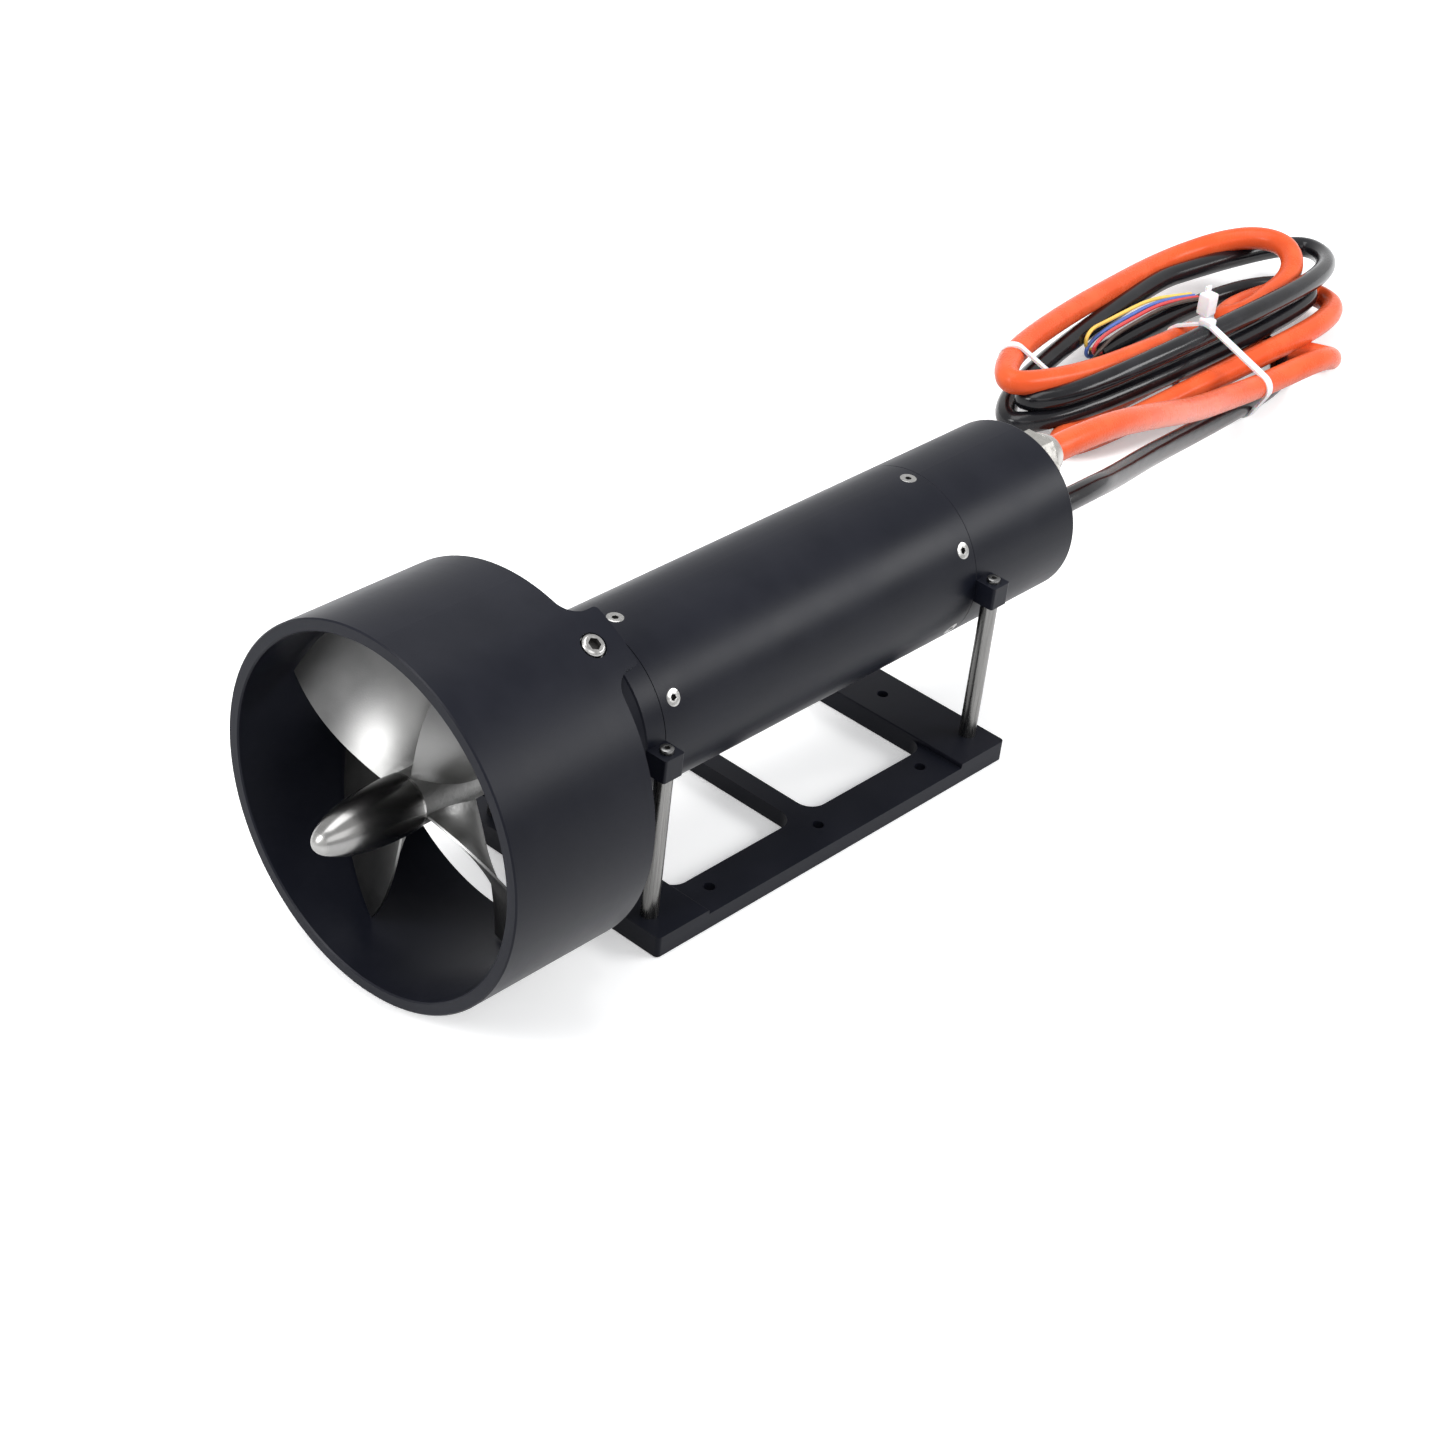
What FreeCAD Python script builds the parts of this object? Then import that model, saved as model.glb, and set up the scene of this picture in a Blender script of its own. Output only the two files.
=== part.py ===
import FreeCAD, Part
import math
import os
import Sketcher

# Underwater thruster on a base plate, in millimetres.
# X runs along the thruster axis towards the cables, Z is up.
# The origin is the centre of the base plate's underside.

os.makedirs("parts", exist_ok=True)
doc = FreeCAD.newDocument("thruster")
Vector = FreeCAD.Vector
Rotation = FreeCAD.Rotation
Placement = FreeCAD.Placement

DIMENSIONS = {
    # Fits between pieces that are fixed to each other, and running fits
    "fit_clearance": 0.05,
    "running_clearance": 0.06,
    # Motor tube and caps
    "tube_radius": 40.0,
    "tube_wall": 4.0,
    "tube_length": 194.3,
    "collar_length": 11.0,
    "front_spigot_length": 26.0,
    "rear_spigot_length": 26.0,
    "spigot_wall": 10.0,
    "rear_cap_length": 70.1,
    "rear_wall": 12.0,
    "rear_cap_wall": 8.0,
    "rear_edge_round": 1.2,
    "seam_edge_break": 0.4,
    "seal_ring_width": 2.6,
    "seal_ring_depth": 2.1,
    "seal_ring_pitch": 6.0,
    "first_seal_inset": 13.6,
    # Tube screws
    "tube_screw_count": 6,
    "front_screw_inset": 7.6,
    "rear_screw_inset": 5.9,
    "tube_screw_radius": 2.0,
    "tube_screw_head_radius": 3.7,
    "tube_screw_length": 10.0,
    # Side lugs and posts
    "lug_length": 10.6,
    "lug_thickness": 10.6,
    "lug_margin": 5.1,
    "lug_corner_radius": 1.2,
    "post_radius": 3.8,
    "post_gap": 1.2,
    "post_screw_radius": 2.0,
    "post_screw_grip": 9.0,
    "post_thread_depth": 12.0,
    "post_screw_head_radius": 3.0,
    "post_screw_head_height": 2.0,
    # Base plate
    "plate_end_margin": 9.15,
    "plate_side_margin": 14.3,
    "plate_thickness": 7.7,
    "pad_thickness": 9.8,
    "pad_length": 30.0,
    "rail_width": 21.3,
    "bar_width": 10.4,
    "window_corner_radius": 8.0,
    "plate_corner_radius": 2.0,
    "plate_edge_break": 0.6,
    "mount_hole_radius": 2.6,
    "mount_hole_edge": 12.8,
    "corner_hole_distance": 68.0,
    # Duct
    "duct_outer_radius": 80.5,
    "duct_wall": 5.5,
    "duct_length": 72.4,
    "duct_gap": 37.4,
    "duct_floor_gap": 4.0,
    "duct_edge_break": 0.6,
    "tab_count": 3,
    "tab_length": 13.6,
    "tab_angle": 20.0,
    "tab_root_radius": 9.0,
    "tab_corner_radius": 2.0,
    "duct_screw_setback": 0.4,
    "duct_screw_radius": 3.0,
    "duct_screw_length": 12.0,
    "duct_screw_head_radius": 5.0,
    "duct_screw_head_height": 3.2,
    "washer_radius": 5.4,
    "washer_thickness": 0.8,
    "washer_recess": 2.8,
    # Arms between the front cap and the duct
    "arm_thickness": 10.0,
    "arm_foot_lead": 12.4,
    "arm_foot_angle": 19.0,
    "arm_foot_thickness": 5.0,
    "arm_head_depth": 14.0,
    "arm_clearance": 0.05,
    # Shaft housing ahead of the front cap
    "housing_front_radius": 14.5,
    "housing_bore_radius": 8.0,
    "hub_gap": 1.0,
    # Shaft
    "shaft_radius": 6.0,
    "shaft_thread_radius": 5.0,
    "shaft_shoulder_radius": 8.0,
    "shaft_rotor_radius": 7.0,
    "shaft_tail_radius": 5.0,
    "shaft_nose_grip": 30.0,
    "shaft_tail_overhang": 3.0,
    # Shaft seal and bearings
    "shaft_seal_radius": 11.0,
    "shaft_seal_length": 7.0,
    "front_bearing_radius": 16.0,
    "front_bearing_width": 10.0,
    "front_bearing_setback": 1.2,
    "rear_bearing_radius": 13.0,
    "rear_bearing_width": 8.0,
    "race_thickness": 2.6,
    "cage_width": 6.0,
    "spring_thickness": 1.2,
    "spring_width": 2.6,
    # Rear bearing holder
    "holder_thickness": 12.0,
    "holder_lip": 2.0,
    "holder_gap": 18.0,
    "holder_window_radius": 5.0,
    "holder_window_circle": 24.0,
    # Motor
    "stator_setback": 39.2,
    "stator_length": 70.0,
    "stator_bore_radius": 19.2,
    "slot_count": 12,
    "slot_width": 7.0,
    "slot_outer_radius": 30.0,
    "slot_opening": 2.4,
    "tooth_tip_height": 2.0,
    "winding_overhang": 10.0,
    "rotor_core_radius": 15.5,
    "rotor_setback": 2.0,
    "magnet_count": 10,
    "magnet_thickness": 2.8,
    "magnet_angle": 30.0,
    # Propeller and nose cone
    "hub_setback": 19.6,
    "hub_length": 38.4,
    "hub_radius": 11.2,
    "tip_clearance": 1.4,
    "blade_count": 4,
    "blade_pitch": 188.5,
    "blade_angle": 60.0,
    "blade_front_gap": 0.8,
    "blade_lead_angle": 6.5,
    "blade_sweep_angle": 9.8,
    "blade_rake": 4.0,
    "blade_root_thickness": 5.0,
    "blade_tip_thickness": 2.2,
    "blade_edge_thickness": 0.9,
    "blade_root_flare": 3.5,
    "drive_pin_radius": 1.5,
    "drive_pin_setback": 8.0,
    "drive_pin_inset": 1.2,
    "nose_length": 46.0,
    "nose_radius": 12.0,
    "nose_widest_setback": 8.6,
    # Cable glands
    "gland_offset": 16.8,
    "gland_thread_radius": 10.0,
    "gland_across_flats": 24.0,
    "gland_flange_thickness": 6.0,
    "gland_neck_radius": 9.0,
    "gland_neck_length": 8.0,
    "gland_nut_gap": 0.8,
    "gland_nut_hex_length": 14.0,
    "gland_nut_dome_length": 8.0,
    "gland_nut_mouth_radius": 9.0,
    "gland_seal_radius": 7.6,
    "gland_body_bore_radius": 7.0,
    # Cables
    "orange_cable_radius": 6.5,
    "black_cable_radius": 5.8,
    "cable_straight": 40.0,
    "coil_height": 46.5,
    "coil_near_height": 41.0,
    "coil_far_height": 28.0,
    "wire_bed_height": 13.0,
    "tie_width": 4.8,
    "tie_thickness": 1.4,
    "tie_head_length": 8.0,
    "tie_head_height": 6.0,
    "core_wire_radius": 1.1,
}


class Size:
    """A length or angle with the sheet expression that gives it."""

    def __init__(self, value, text):
        self.value = value
        self.text = text

    def __add__(self, other):
        other = size(other)
        return Size(self.value + other.value, f"({self.text} + {other.text})")

    def __sub__(self, other):
        other = size(other)
        return Size(self.value - other.value, f"({self.text} - {other.text})")

    def __mul__(self, other):
        other = size(other)
        return Size(self.value * other.value, f"({self.text} * {other.text})")

    def __truediv__(self, other):
        other = size(other)
        return Size(self.value / other.value, f"({self.text} / {other.text})")

    def __neg__(self):
        return Size(-self.value, f"(0 - {self.text})")

    def __radd__(self, other):
        return size(other) + self

    def __rsub__(self, other):
        return size(other) - self

    def __rmul__(self, other):
        return size(other) * self

    def __rtruediv__(self, other):
        return size(other) / self


def size(value):
    """Give a plain number the form of a Size."""
    return value if isinstance(value, Size) else Size(float(value), f"({value})")


def fill_sheet():
    """Put the driving dimensions in a spreadsheet and return them as named sizes."""
    sheet = doc.addObject("Spreadsheet::Sheet", "dims")
    sizes = {}
    for row, (name, value) in enumerate(DIMENSIONS.items(), start=1):
        sheet.set(f"A{row}", name)
        sheet.set(f"B{row}", str(value))
        sheet.setAlias(f"B{row}", name)
    doc.recompute()
    for name in DIMENSIONS:
        sizes[name] = Size(float(sheet.get(name)), f"dims.{name}")
    return sizes


d = fill_sheet()

# Places along the axis, each measured from the middle of the motor tube
front_seam = -(d["tube_length"] / 2)
rear_seam = d["tube_length"] / 2
collar_front = front_seam - d["collar_length"]
duct_rear = collar_front - d["duct_gap"]
duct_front = duct_rear - d["duct_length"]
tab_rear = duct_rear + d["tab_length"]
duct_screw_x = duct_rear + d["duct_screw_setback"]
hub_front = duct_front + d["hub_setback"]
hub_rear = hub_front + d["hub_length"]
housing_front = hub_rear + d["hub_gap"]
front_bearing_rear = front_seam + d["front_bearing_setback"]
front_bearing_front = front_bearing_rear - d["front_bearing_width"]
stator_front = front_seam + d["stator_setback"]
stator_rear = stator_front + d["stator_length"]
holder_front = stator_rear + d["holder_gap"]
holder_rear = holder_front + d["holder_thickness"]
rear_bearing_front = holder_front + d["holder_lip"] + d["spring_thickness"]
rear_bearing_rear = rear_bearing_front + d["rear_bearing_width"]
rear_cap_rear = rear_seam + d["rear_cap_length"]
front_screw_x = front_seam + d["front_screw_inset"]
rear_screw_x = rear_seam - d["rear_screw_inset"]
drive_pin_x = hub_rear - d["drive_pin_setback"]

# Radii, heights and places across the axis
axis_height = d["duct_outer_radius"] + d["duct_floor_gap"]
tube_bore = d["tube_radius"] - d["tube_wall"]
spigot_radius = tube_bore - d["fit_clearance"]
spigot_bore = spigot_radius - d["spigot_wall"]
duct_bore = d["duct_outer_radius"] - d["duct_wall"]
tip_radius = duct_bore - d["tip_clearance"]
post_x = (d["tube_length"] + d["lug_length"]) / 2
post_y = d["tube_radius"] + d["post_gap"] + d["post_radius"]
lug_reach = post_y + d["lug_margin"]
lug_half = d["lug_thickness"] / 2
plate_half_length = post_x + d["plate_end_margin"]
plate_half_width = post_y + d["plate_side_margin"]
pad_inner_x = plate_half_length - d["pad_length"]
hole_row_y = plate_half_width - d["mount_hole_edge"]
head_seat_radius = d["duct_outer_radius"] - d["washer_recess"]
pin_half_length = d["hub_radius"] - d["drive_pin_inset"]
gland_mouth = rear_cap_rear + d["gland_flange_thickness"] + d["gland_nut_gap"]
gland_mouth = gland_mouth + d["gland_nut_hex_length"] + d["gland_nut_dome_length"]

sub_parts = []


def new_body(name, several=False, height=axis_height):
    """Start a sub-part whose own origin lies on the thruster axis, or at the given height."""
    body = doc.addObject("PartDesign::Body", name)
    body.Label = name
    body.AllowCompound = several
    body.Placement = Placement(Vector(0, 0, size(height).value), Rotation())
    body.setExpression("Placement.Base.z", size(height).text)
    sub_parts.append(body)
    return body


def origin_of(body, role):
    """Find one of a body's own origin planes or axes."""
    return [item for item in body.Origin.OriginFeatures if item.Role == role][0]


def new_sketch(body, name, plane, offset=0):
    """Attach a sketch to one of the body's origin planes, shifted along its normal."""
    sketch = body.newObject("Sketcher::SketchObject", name)
    sketch.AttachmentSupport = [(origin_of(body, plane), "")]
    sketch.MapMode = "FlatFace"
    offset = size(offset)
    sketch.AttachmentOffset = Placement(Vector(0, 0, offset.value), Rotation())
    sketch.setExpression("AttachmentOffset.Base.z", offset.text)
    return sketch


def pin(sketch, edge, end, across, up):
    """Hold a point of a sketch at a distance across and up from the sketch's origin."""
    for kind, distance in (("DistanceX", size(across)), ("DistanceY", size(up))):
        index = sketch.addConstraint(Sketcher.Constraint(kind, -1, 1, edge, end, distance.value))
        sketch.setExpression(f"Constraints[{index}]", distance.text)


def draw_outline(sketch, corners):
    """Draw a closed outline of straight edges through the given corners."""
    points = [Vector(size(across).value, size(up).value, 0) for across, up in corners]
    count = len(points)
    edges = [
        sketch.addGeometry(Part.LineSegment(points[k], points[(k + 1) % count]), False)
        for k in range(count)
    ]
    for k in range(count):
        sketch.addConstraint(Sketcher.Constraint("Coincident", edges[k], 2, edges[(k + 1) % count], 1))
    for edge, (across, up) in zip(edges, corners):
        pin(sketch, edge, 1, across, up)


def draw_circle(sketch, across, up, radius):
    """Draw a circle at a bound place with a bound radius."""
    centre = Vector(size(across).value, size(up).value, 0)
    radius = size(radius)
    edge = sketch.addGeometry(Part.Circle(centre, Vector(0, 0, 1), radius.value), False)
    pin(sketch, edge, 3, across, up)
    index = sketch.addConstraint(Sketcher.Constraint("Radius", edge, radius.value))
    sketch.setExpression(f"Constraints[{index}]", radius.text)


def box_corners(left, right, low, high):
    """Give the four corners of a rectangle."""
    return [(left, low), (right, low), (right, high), (left, high)]


def draw_hexagon(sketch, across, up, across_flats):
    """Draw a hexagon with two corners on its vertical middle line."""
    corner = across_flats / math.sqrt(3)
    flat = across_flats / 2
    steps = [(0, 1), (-1, 0.5), (-1, -0.5), (0, -1), (1, -0.5), (1, 0.5)]
    draw_outline(sketch, [(across + flat * side, up + corner * rise) for side, rise in steps])


def bind(feature, name, value):
    """Set a feature's size and tie it to the sheet."""
    value = size(value)
    setattr(feature, name, value.value)
    feature.setExpression(name, value.text)


def add_revolve(body, name, corners, cut=False, angle=360, plane="XZ_Plane"):
    """Turn an outline of places along the axis and radii about the thruster axis."""
    sketch = new_sketch(body, name + "_outline", plane)
    draw_outline(sketch, corners)
    feature = body.newObject("PartDesign::Groove" if cut else "PartDesign::Revolution", name)
    feature.Profile = (sketch, [""])
    feature.ReferenceAxis = (sketch, ["H_Axis"])
    bind(feature, "Angle", angle)
    feature.Midplane = size(angle).value < 360
    return feature


def add_radial(body, name, place, corners, cut=False, plane="XZ_Plane"):
    """Turn an outline about the line through a place on the thruster axis and square to it."""
    sketch = new_sketch(body, name + "_outline", plane)
    sketch.AttachmentOffset = Placement(Vector(place.value, 0, 0), Rotation())
    sketch.setExpression("AttachmentOffset.Base.x", place.text)
    draw_outline(sketch, corners)
    feature = body.newObject("PartDesign::Groove" if cut else "PartDesign::Revolution", name)
    feature.Profile = (sketch, [""])
    feature.ReferenceAxis = (sketch, ["V_Axis"])
    feature.Angle = 360
    return feature


def add_pad(body, name, sketch, length, backwards=False, both_ways=False, taper=0):
    """Raise a sketch into a solid."""
    feature = body.newObject("PartDesign::Pad", name)
    feature.Profile = (sketch, [""])
    bind(feature, "Length", length)
    feature.Reversed = backwards
    feature.Midplane = both_ways
    feature.TaperAngle = taper
    return feature


def add_pocket(body, name, sketch, length=None, forwards=False, both_ways=False):
    """Cut a sketch into the solid, right through where no length is given."""
    feature = body.newObject("PartDesign::Pocket", name)
    feature.Profile = (sketch, [""])
    if length is None:
        feature.Type = "ThroughAll"
    else:
        bind(feature, "Length", length)
    feature.Reversed = forwards
    feature.Midplane = both_ways
    return feature


def add_polar(body, name, features, count):
    """Repeat features about the thruster axis."""
    pattern = body.newObject("PartDesign::PolarPattern", name)
    pattern.Originals = features
    pattern.Axis = (origin_of(body, "X_Axis"), [""])
    pattern.Angle = 360
    pattern.Occurrences = int(count.value)
    pattern.setExpression("Occurrences", count.text)
    body.Tip = pattern
    return pattern


def add_round(body, name, radius, test):
    """Round the edges of the body's last feature that pass a test."""
    doc.recompute()
    base = body.Tip
    edges = [f"Edge{k}" for k, edge in enumerate(base.Shape.Edges, start=1) if test(edge)]
    feature = body.newObject("PartDesign::Fillet", name)
    feature.Base = (base, edges)
    bind(feature, "Radius", radius)
    body.Tip = feature
    return feature


def middle(edge):
    """Give the point half way along an edge."""
    return edge.valueAt((edge.FirstParameter + edge.LastParameter) / 2)


def near(first, second, slack=0.01):
    """Tell whether two lengths are the same."""
    return abs(first - second) < slack


def add_ring(name, front, rear, inner, outer):
    """Make a plain ring about the thruster axis."""
    body = new_body(name)
    body.Tip = add_revolve(body, name + "_ring", box_corners(front, rear, inner, outer))
    return body


# Duct
# Its tabs stand at the side and 120 degrees to either hand of it


def make_duct_shroud():
    """Barrel with three short tabs on its rear edge, each with a screw hole and a washer recess."""
    body = new_body("duct_shroud")
    edge = d["duct_edge_break"]
    outer = d["duct_outer_radius"]
    corners = [
        (duct_front, duct_bore + edge),
        (duct_front, outer - edge),
        (duct_front + edge, outer),
        (tab_rear, outer),
        (tab_rear, duct_bore),
        (duct_front + edge, duct_bore),
    ]
    add_revolve(body, "barrel", corners)
    notch_angle = 360 / d["tab_count"] - d["tab_angle"]
    notch_corners = box_corners(duct_rear, tab_rear + edge, -(outer + edge), -(duct_bore - edge))
    notch = add_revolve(body, "notch", notch_corners, cut=True, angle=notch_angle, plane="XY_Plane")
    hole_sketch = new_sketch(body, "tab_hole_outline", "XZ_Plane")
    draw_circle(hole_sketch, duct_screw_x, 0, d["duct_screw_radius"] + d["fit_clearance"])
    hole = add_pocket(body, "tab_hole", hole_sketch)
    recess_sketch = new_sketch(body, "washer_recess_outline", "XZ_Plane", -head_seat_radius)
    draw_circle(recess_sketch, duct_screw_x, 0, d["washer_radius"] + 3 * d["fit_clearance"])
    recess = add_pocket(body, "washer_recess_cut", recess_sketch)
    add_polar(body, "tab_pattern", [notch, hole, recess], d["tab_count"])

    def is_tab_root(candidate):
        point = middle(candidate)
        return candidate.Curve.TypeId == "Part::GeomLine" and near(point.x, duct_rear.value)

    def is_tab_corner(candidate):
        point = middle(candidate)
        return candidate.Curve.TypeId == "Part::GeomLine" and near(point.x, tab_rear.value)

    add_round(body, "tab_roots", d["tab_root_radius"], is_tab_root)
    add_round(body, "tab_corners", d["tab_corner_radius"], is_tab_corner)


def make_duct_screws():
    """Socket screws that hold the tabs to the arms, with their washers."""
    washer_top = head_seat_radius + d["washer_thickness"]
    washers = new_body("duct_screw_washers", several=True)
    inner = d["duct_screw_radius"] + d["fit_clearance"]
    ring = box_corners(inner, d["washer_radius"], head_seat_radius, washer_top)
    washer = add_radial(washers, "washer", duct_screw_x, ring, plane="XY_Plane")
    add_polar(washers, "washer_pattern", [washer], d["tab_count"])
    screws = new_body("duct_screws", several=True)
    head_top = washer_top + d["duct_screw_head_height"]
    shank_end = head_seat_radius - d["duct_screw_length"]
    shank = d["duct_screw_radius"]
    head = d["duct_screw_head_radius"]
    corners = [(0, head_top), (head, head_top), (head, washer_top), (shank, washer_top)]
    corners += [(shank, shank_end), (0, shank_end)]
    screw = add_radial(screws, "duct_screw", duct_screw_x, corners, plane="XY_Plane")
    add_polar(screws, "duct_screw_pattern", [screw], d["tab_count"])


# Caps and motor tube


def seal_groove(body, name, place):
    """Cut a seal ring's groove around a spigot."""
    floor = spigot_radius - d["seal_ring_depth"]
    half = d["seal_ring_width"] / 2 + d["fit_clearance"]
    corners = box_corners(place - half, place + half, floor, spigot_radius + d["tube_wall"])
    return add_revolve(body, name, corners, cut=True)


def add_lugs(body, name, front, rear, inner):
    """Add a lug on each side of a cap, rooted in its wall."""
    sketch = new_sketch(body, name + "_outline", "XY_Plane")
    for side in (-1, 1):
        draw_outline(sketch, box_corners(front, rear, side * inner, side * lug_reach))
    return add_pad(body, name, sketch, d["lug_thickness"], both_ways=True)


def cut_lug_holes(body, name, place):
    """Drill the screw holes of both lugs."""
    sketch = new_sketch(body, name + "_outline", "XY_Plane")
    for side in (-1, 1):
        draw_circle(sketch, place, side * post_y, d["post_screw_radius"] + d["fit_clearance"])
    return add_pocket(body, name, sketch, d["lug_thickness"] * 2, both_ways=True)


def is_lug_corner(edge):
    """Tell whether an edge is an upright outer corner of a lug."""
    if edge.Curve.TypeId != "Part::GeomLine":
        return False
    point = middle(edge)
    return near(abs(point.y), lug_reach.value) and near(point.z, 0)


def make_front_cap():
    """Collar, spigot, shaft housing and the three arms that carry the duct."""
    body = new_body("front_cap")
    collar = d["tube_radius"]
    spigot_rear = front_seam + d["front_spigot_length"]
    bearing_seat = d["front_bearing_radius"] + d["fit_clearance"]
    seal_seat = d["shaft_seal_radius"] + d["fit_clearance"]
    seal_rear = housing_front + d["shaft_seal_length"]
    edge = d["duct_edge_break"]
    seam_edge = d["seam_edge_break"]
    corners = [
        (housing_front, seal_seat),
        (housing_front, d["housing_front_radius"]),
        (collar_front, collar - edge),
        (collar_front + edge, collar),
        (front_seam - seam_edge, collar),
        (front_seam, collar - seam_edge),
        (front_seam, spigot_radius),
        (spigot_rear, spigot_radius),
        (spigot_rear, spigot_bore),
        (front_bearing_rear, spigot_bore),
        (front_bearing_rear, bearing_seat),
        (front_bearing_front, bearing_seat),
        (front_bearing_front, d["housing_bore_radius"]),
        (seal_rear, d["housing_bore_radius"]),
        (seal_rear, seal_seat),
    ]
    add_revolve(body, "housing", corners)
    foot_outer = duct_bore - d["arm_clearance"]
    foot_inner = foot_outer - d["arm_foot_thickness"]
    foot_front = duct_rear - d["arm_foot_lead"]
    head_radius = foot_outer - d["arm_head_depth"]
    arm_sketch = new_sketch(body, "arm_outline", "XY_Plane")
    arm_corners = [
        (foot_front, foot_outer - edge),
        (tab_rear, foot_outer - edge),
        (tab_rear, head_radius),
        (collar_front, collar - 2 * edge),
        (collar_front, bearing_seat + edge),
        (seal_rear, d["housing_front_radius"] - edge),
        (duct_rear, collar - edge),
        (foot_front, head_radius),
    ]
    draw_outline(arm_sketch, arm_corners)
    arm = add_pad(body, "arm", arm_sketch, d["arm_thickness"], both_ways=True)
    foot_corners = box_corners(foot_front, tab_rear, foot_inner, foot_outer)
    foot = add_revolve(body, "arm_foot", foot_corners, angle=d["arm_foot_angle"], plane="XY_Plane")
    hole_floor = head_seat_radius - d["duct_screw_length"]
    hole_sketch = new_sketch(body, "arm_hole_outline", "XZ_Plane", -hole_floor)
    draw_circle(hole_sketch, duct_screw_x, 0, d["duct_screw_radius"] + d["fit_clearance"])
    hole = add_pocket(body, "arm_hole", hole_sketch)
    add_polar(body, "arm_pattern", [arm, foot, hole], d["tab_count"])
    for number, place in enumerate(seal_places(front_seam, 1), start=1):
        seal_groove(body, f"front_seal_groove_{number}", place)
    add_lugs(body, "front_lugs", collar_front, front_seam, bearing_seat + edge)
    cut_lug_holes(body, "front_lug_holes", -post_x)
    screw_hole = cut_screw_hole(body, "front_screw_hole", front_screw_x)
    add_polar(body, "front_screw_holes", [screw_hole], d["tube_screw_count"])
    add_round(body, "front_lug_corners", d["lug_corner_radius"], is_lug_corner)


def tube_screw_corners(clearance, length):
    """Half outline of a countersunk screw, from the tube's surface inwards."""
    head = d["tube_screw_head_radius"] + clearance
    shank = d["tube_screw_radius"] + clearance
    top = d["tube_radius"]
    neck = top - (d["tube_screw_head_radius"] - d["tube_screw_radius"])
    tip = top - length
    return [(0, top), (head, top), (shank, neck), (shank, tip), (0, tip)]


def cut_screw_hole(body, name, place):
    """Drill one of the countersunk holes that the tube screws pass through, from above the tube."""
    corners = tube_screw_corners(d["fit_clearance"], d["tube_screw_length"])
    above = d["tube_radius"] + d["tube_wall"]
    corners[:1] = [(0, above), (corners[1][0], above)]
    return add_radial(body, name, place, corners, cut=True)


def make_tube_screws(name, place):
    """Ring of countersunk screws between the tube and a cap."""
    body = new_body(name, several=True)
    screw = add_radial(body, name + "_shape", place, tube_screw_corners(0, d["tube_screw_length"]))
    add_polar(body, name + "_pattern", [screw], d["tube_screw_count"])


def make_motor_tube():
    """Plain tube with a ring of countersunk holes near each end."""
    body = new_body("motor_tube")
    add_revolve(body, "tube", box_corners(front_seam, rear_seam, tube_bore, d["tube_radius"]))
    holes = [cut_screw_hole(body, "front_holes", front_screw_x)]
    holes.append(cut_screw_hole(body, "rear_holes", rear_screw_x))
    add_polar(body, "hole_pattern", holes, d["tube_screw_count"])


def seal_places(seam, direction):
    """Give the middles of both seal rings of a cap."""
    first = seam + d["first_seal_inset"] * direction
    return [first, first + d["seal_ring_pitch"] * direction]


def make_cap_seals(name, seam, direction):
    """Two seal rings squeezed between a cap's grooves and the tube."""
    body = new_body(name, several=True)
    half = d["seal_ring_width"] / 2
    low = spigot_radius - d["seal_ring_depth"] + d["fit_clearance"]
    high = tube_bore - d["fit_clearance"] / 2
    for number, place in enumerate(seal_places(seam, direction), start=1):
        feature = add_revolve(body, f"{name}_{number}", box_corners(place - half, place + half, low, high))
    body.Tip = feature


def make_rear_cap():
    """Cup with a spigot, two lugs and two threaded cable entries in its rear wall."""
    body = new_body("rear_cap")
    outer = d["tube_radius"]
    cup = outer - d["rear_cap_wall"]
    spigot_front = rear_seam - d["rear_spigot_length"]
    edge = d["seam_edge_break"]
    corners = [
        (spigot_front, spigot_bore),
        (spigot_front, spigot_radius),
        (rear_seam, spigot_radius),
        (rear_seam, outer - edge),
        (rear_seam + edge, outer),
        (rear_cap_rear, outer),
        (rear_cap_rear, 0),
        (rear_cap_rear - d["rear_wall"], 0),
        (rear_cap_rear - d["rear_wall"], cup),
        (rear_seam + d["lug_length"], cup),
        (rear_seam, spigot_bore),
    ]
    add_revolve(body, "cup", corners)
    for number, place in enumerate(seal_places(rear_seam, -1), start=1):
        groove = seal_groove(body, f"rear_seal_groove_{number}", place)
    body.Tip = groove

    def is_rear_rim(edge):
        point = edge.BoundBox
        return near(point.XMin, rear_cap_rear.value) and near(point.YMax, outer.value)

    add_round(body, "rear_rim", d["rear_edge_round"], is_rear_rim)
    add_lugs(body, "rear_lugs", rear_seam, rear_seam + d["lug_length"], cup + d["fit_clearance"])
    cut_lug_holes(body, "rear_lug_holes", post_x)
    entries = new_sketch(body, "cable_entry_outline", "YZ_Plane", rear_cap_rear)
    for side in (-1, 1):
        draw_circle(entries, 0, side * d["gland_offset"], d["gland_thread_radius"] + d["fit_clearance"])
    add_pocket(body, "cable_entries", entries, d["rear_wall"])
    screw_hole = cut_screw_hole(body, "rear_screw_hole", rear_screw_x)
    add_polar(body, "rear_screw_holes", [screw_hole], d["tube_screw_count"])
    add_round(body, "rear_lug_corners", d["lug_corner_radius"], is_lug_corner)


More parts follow.
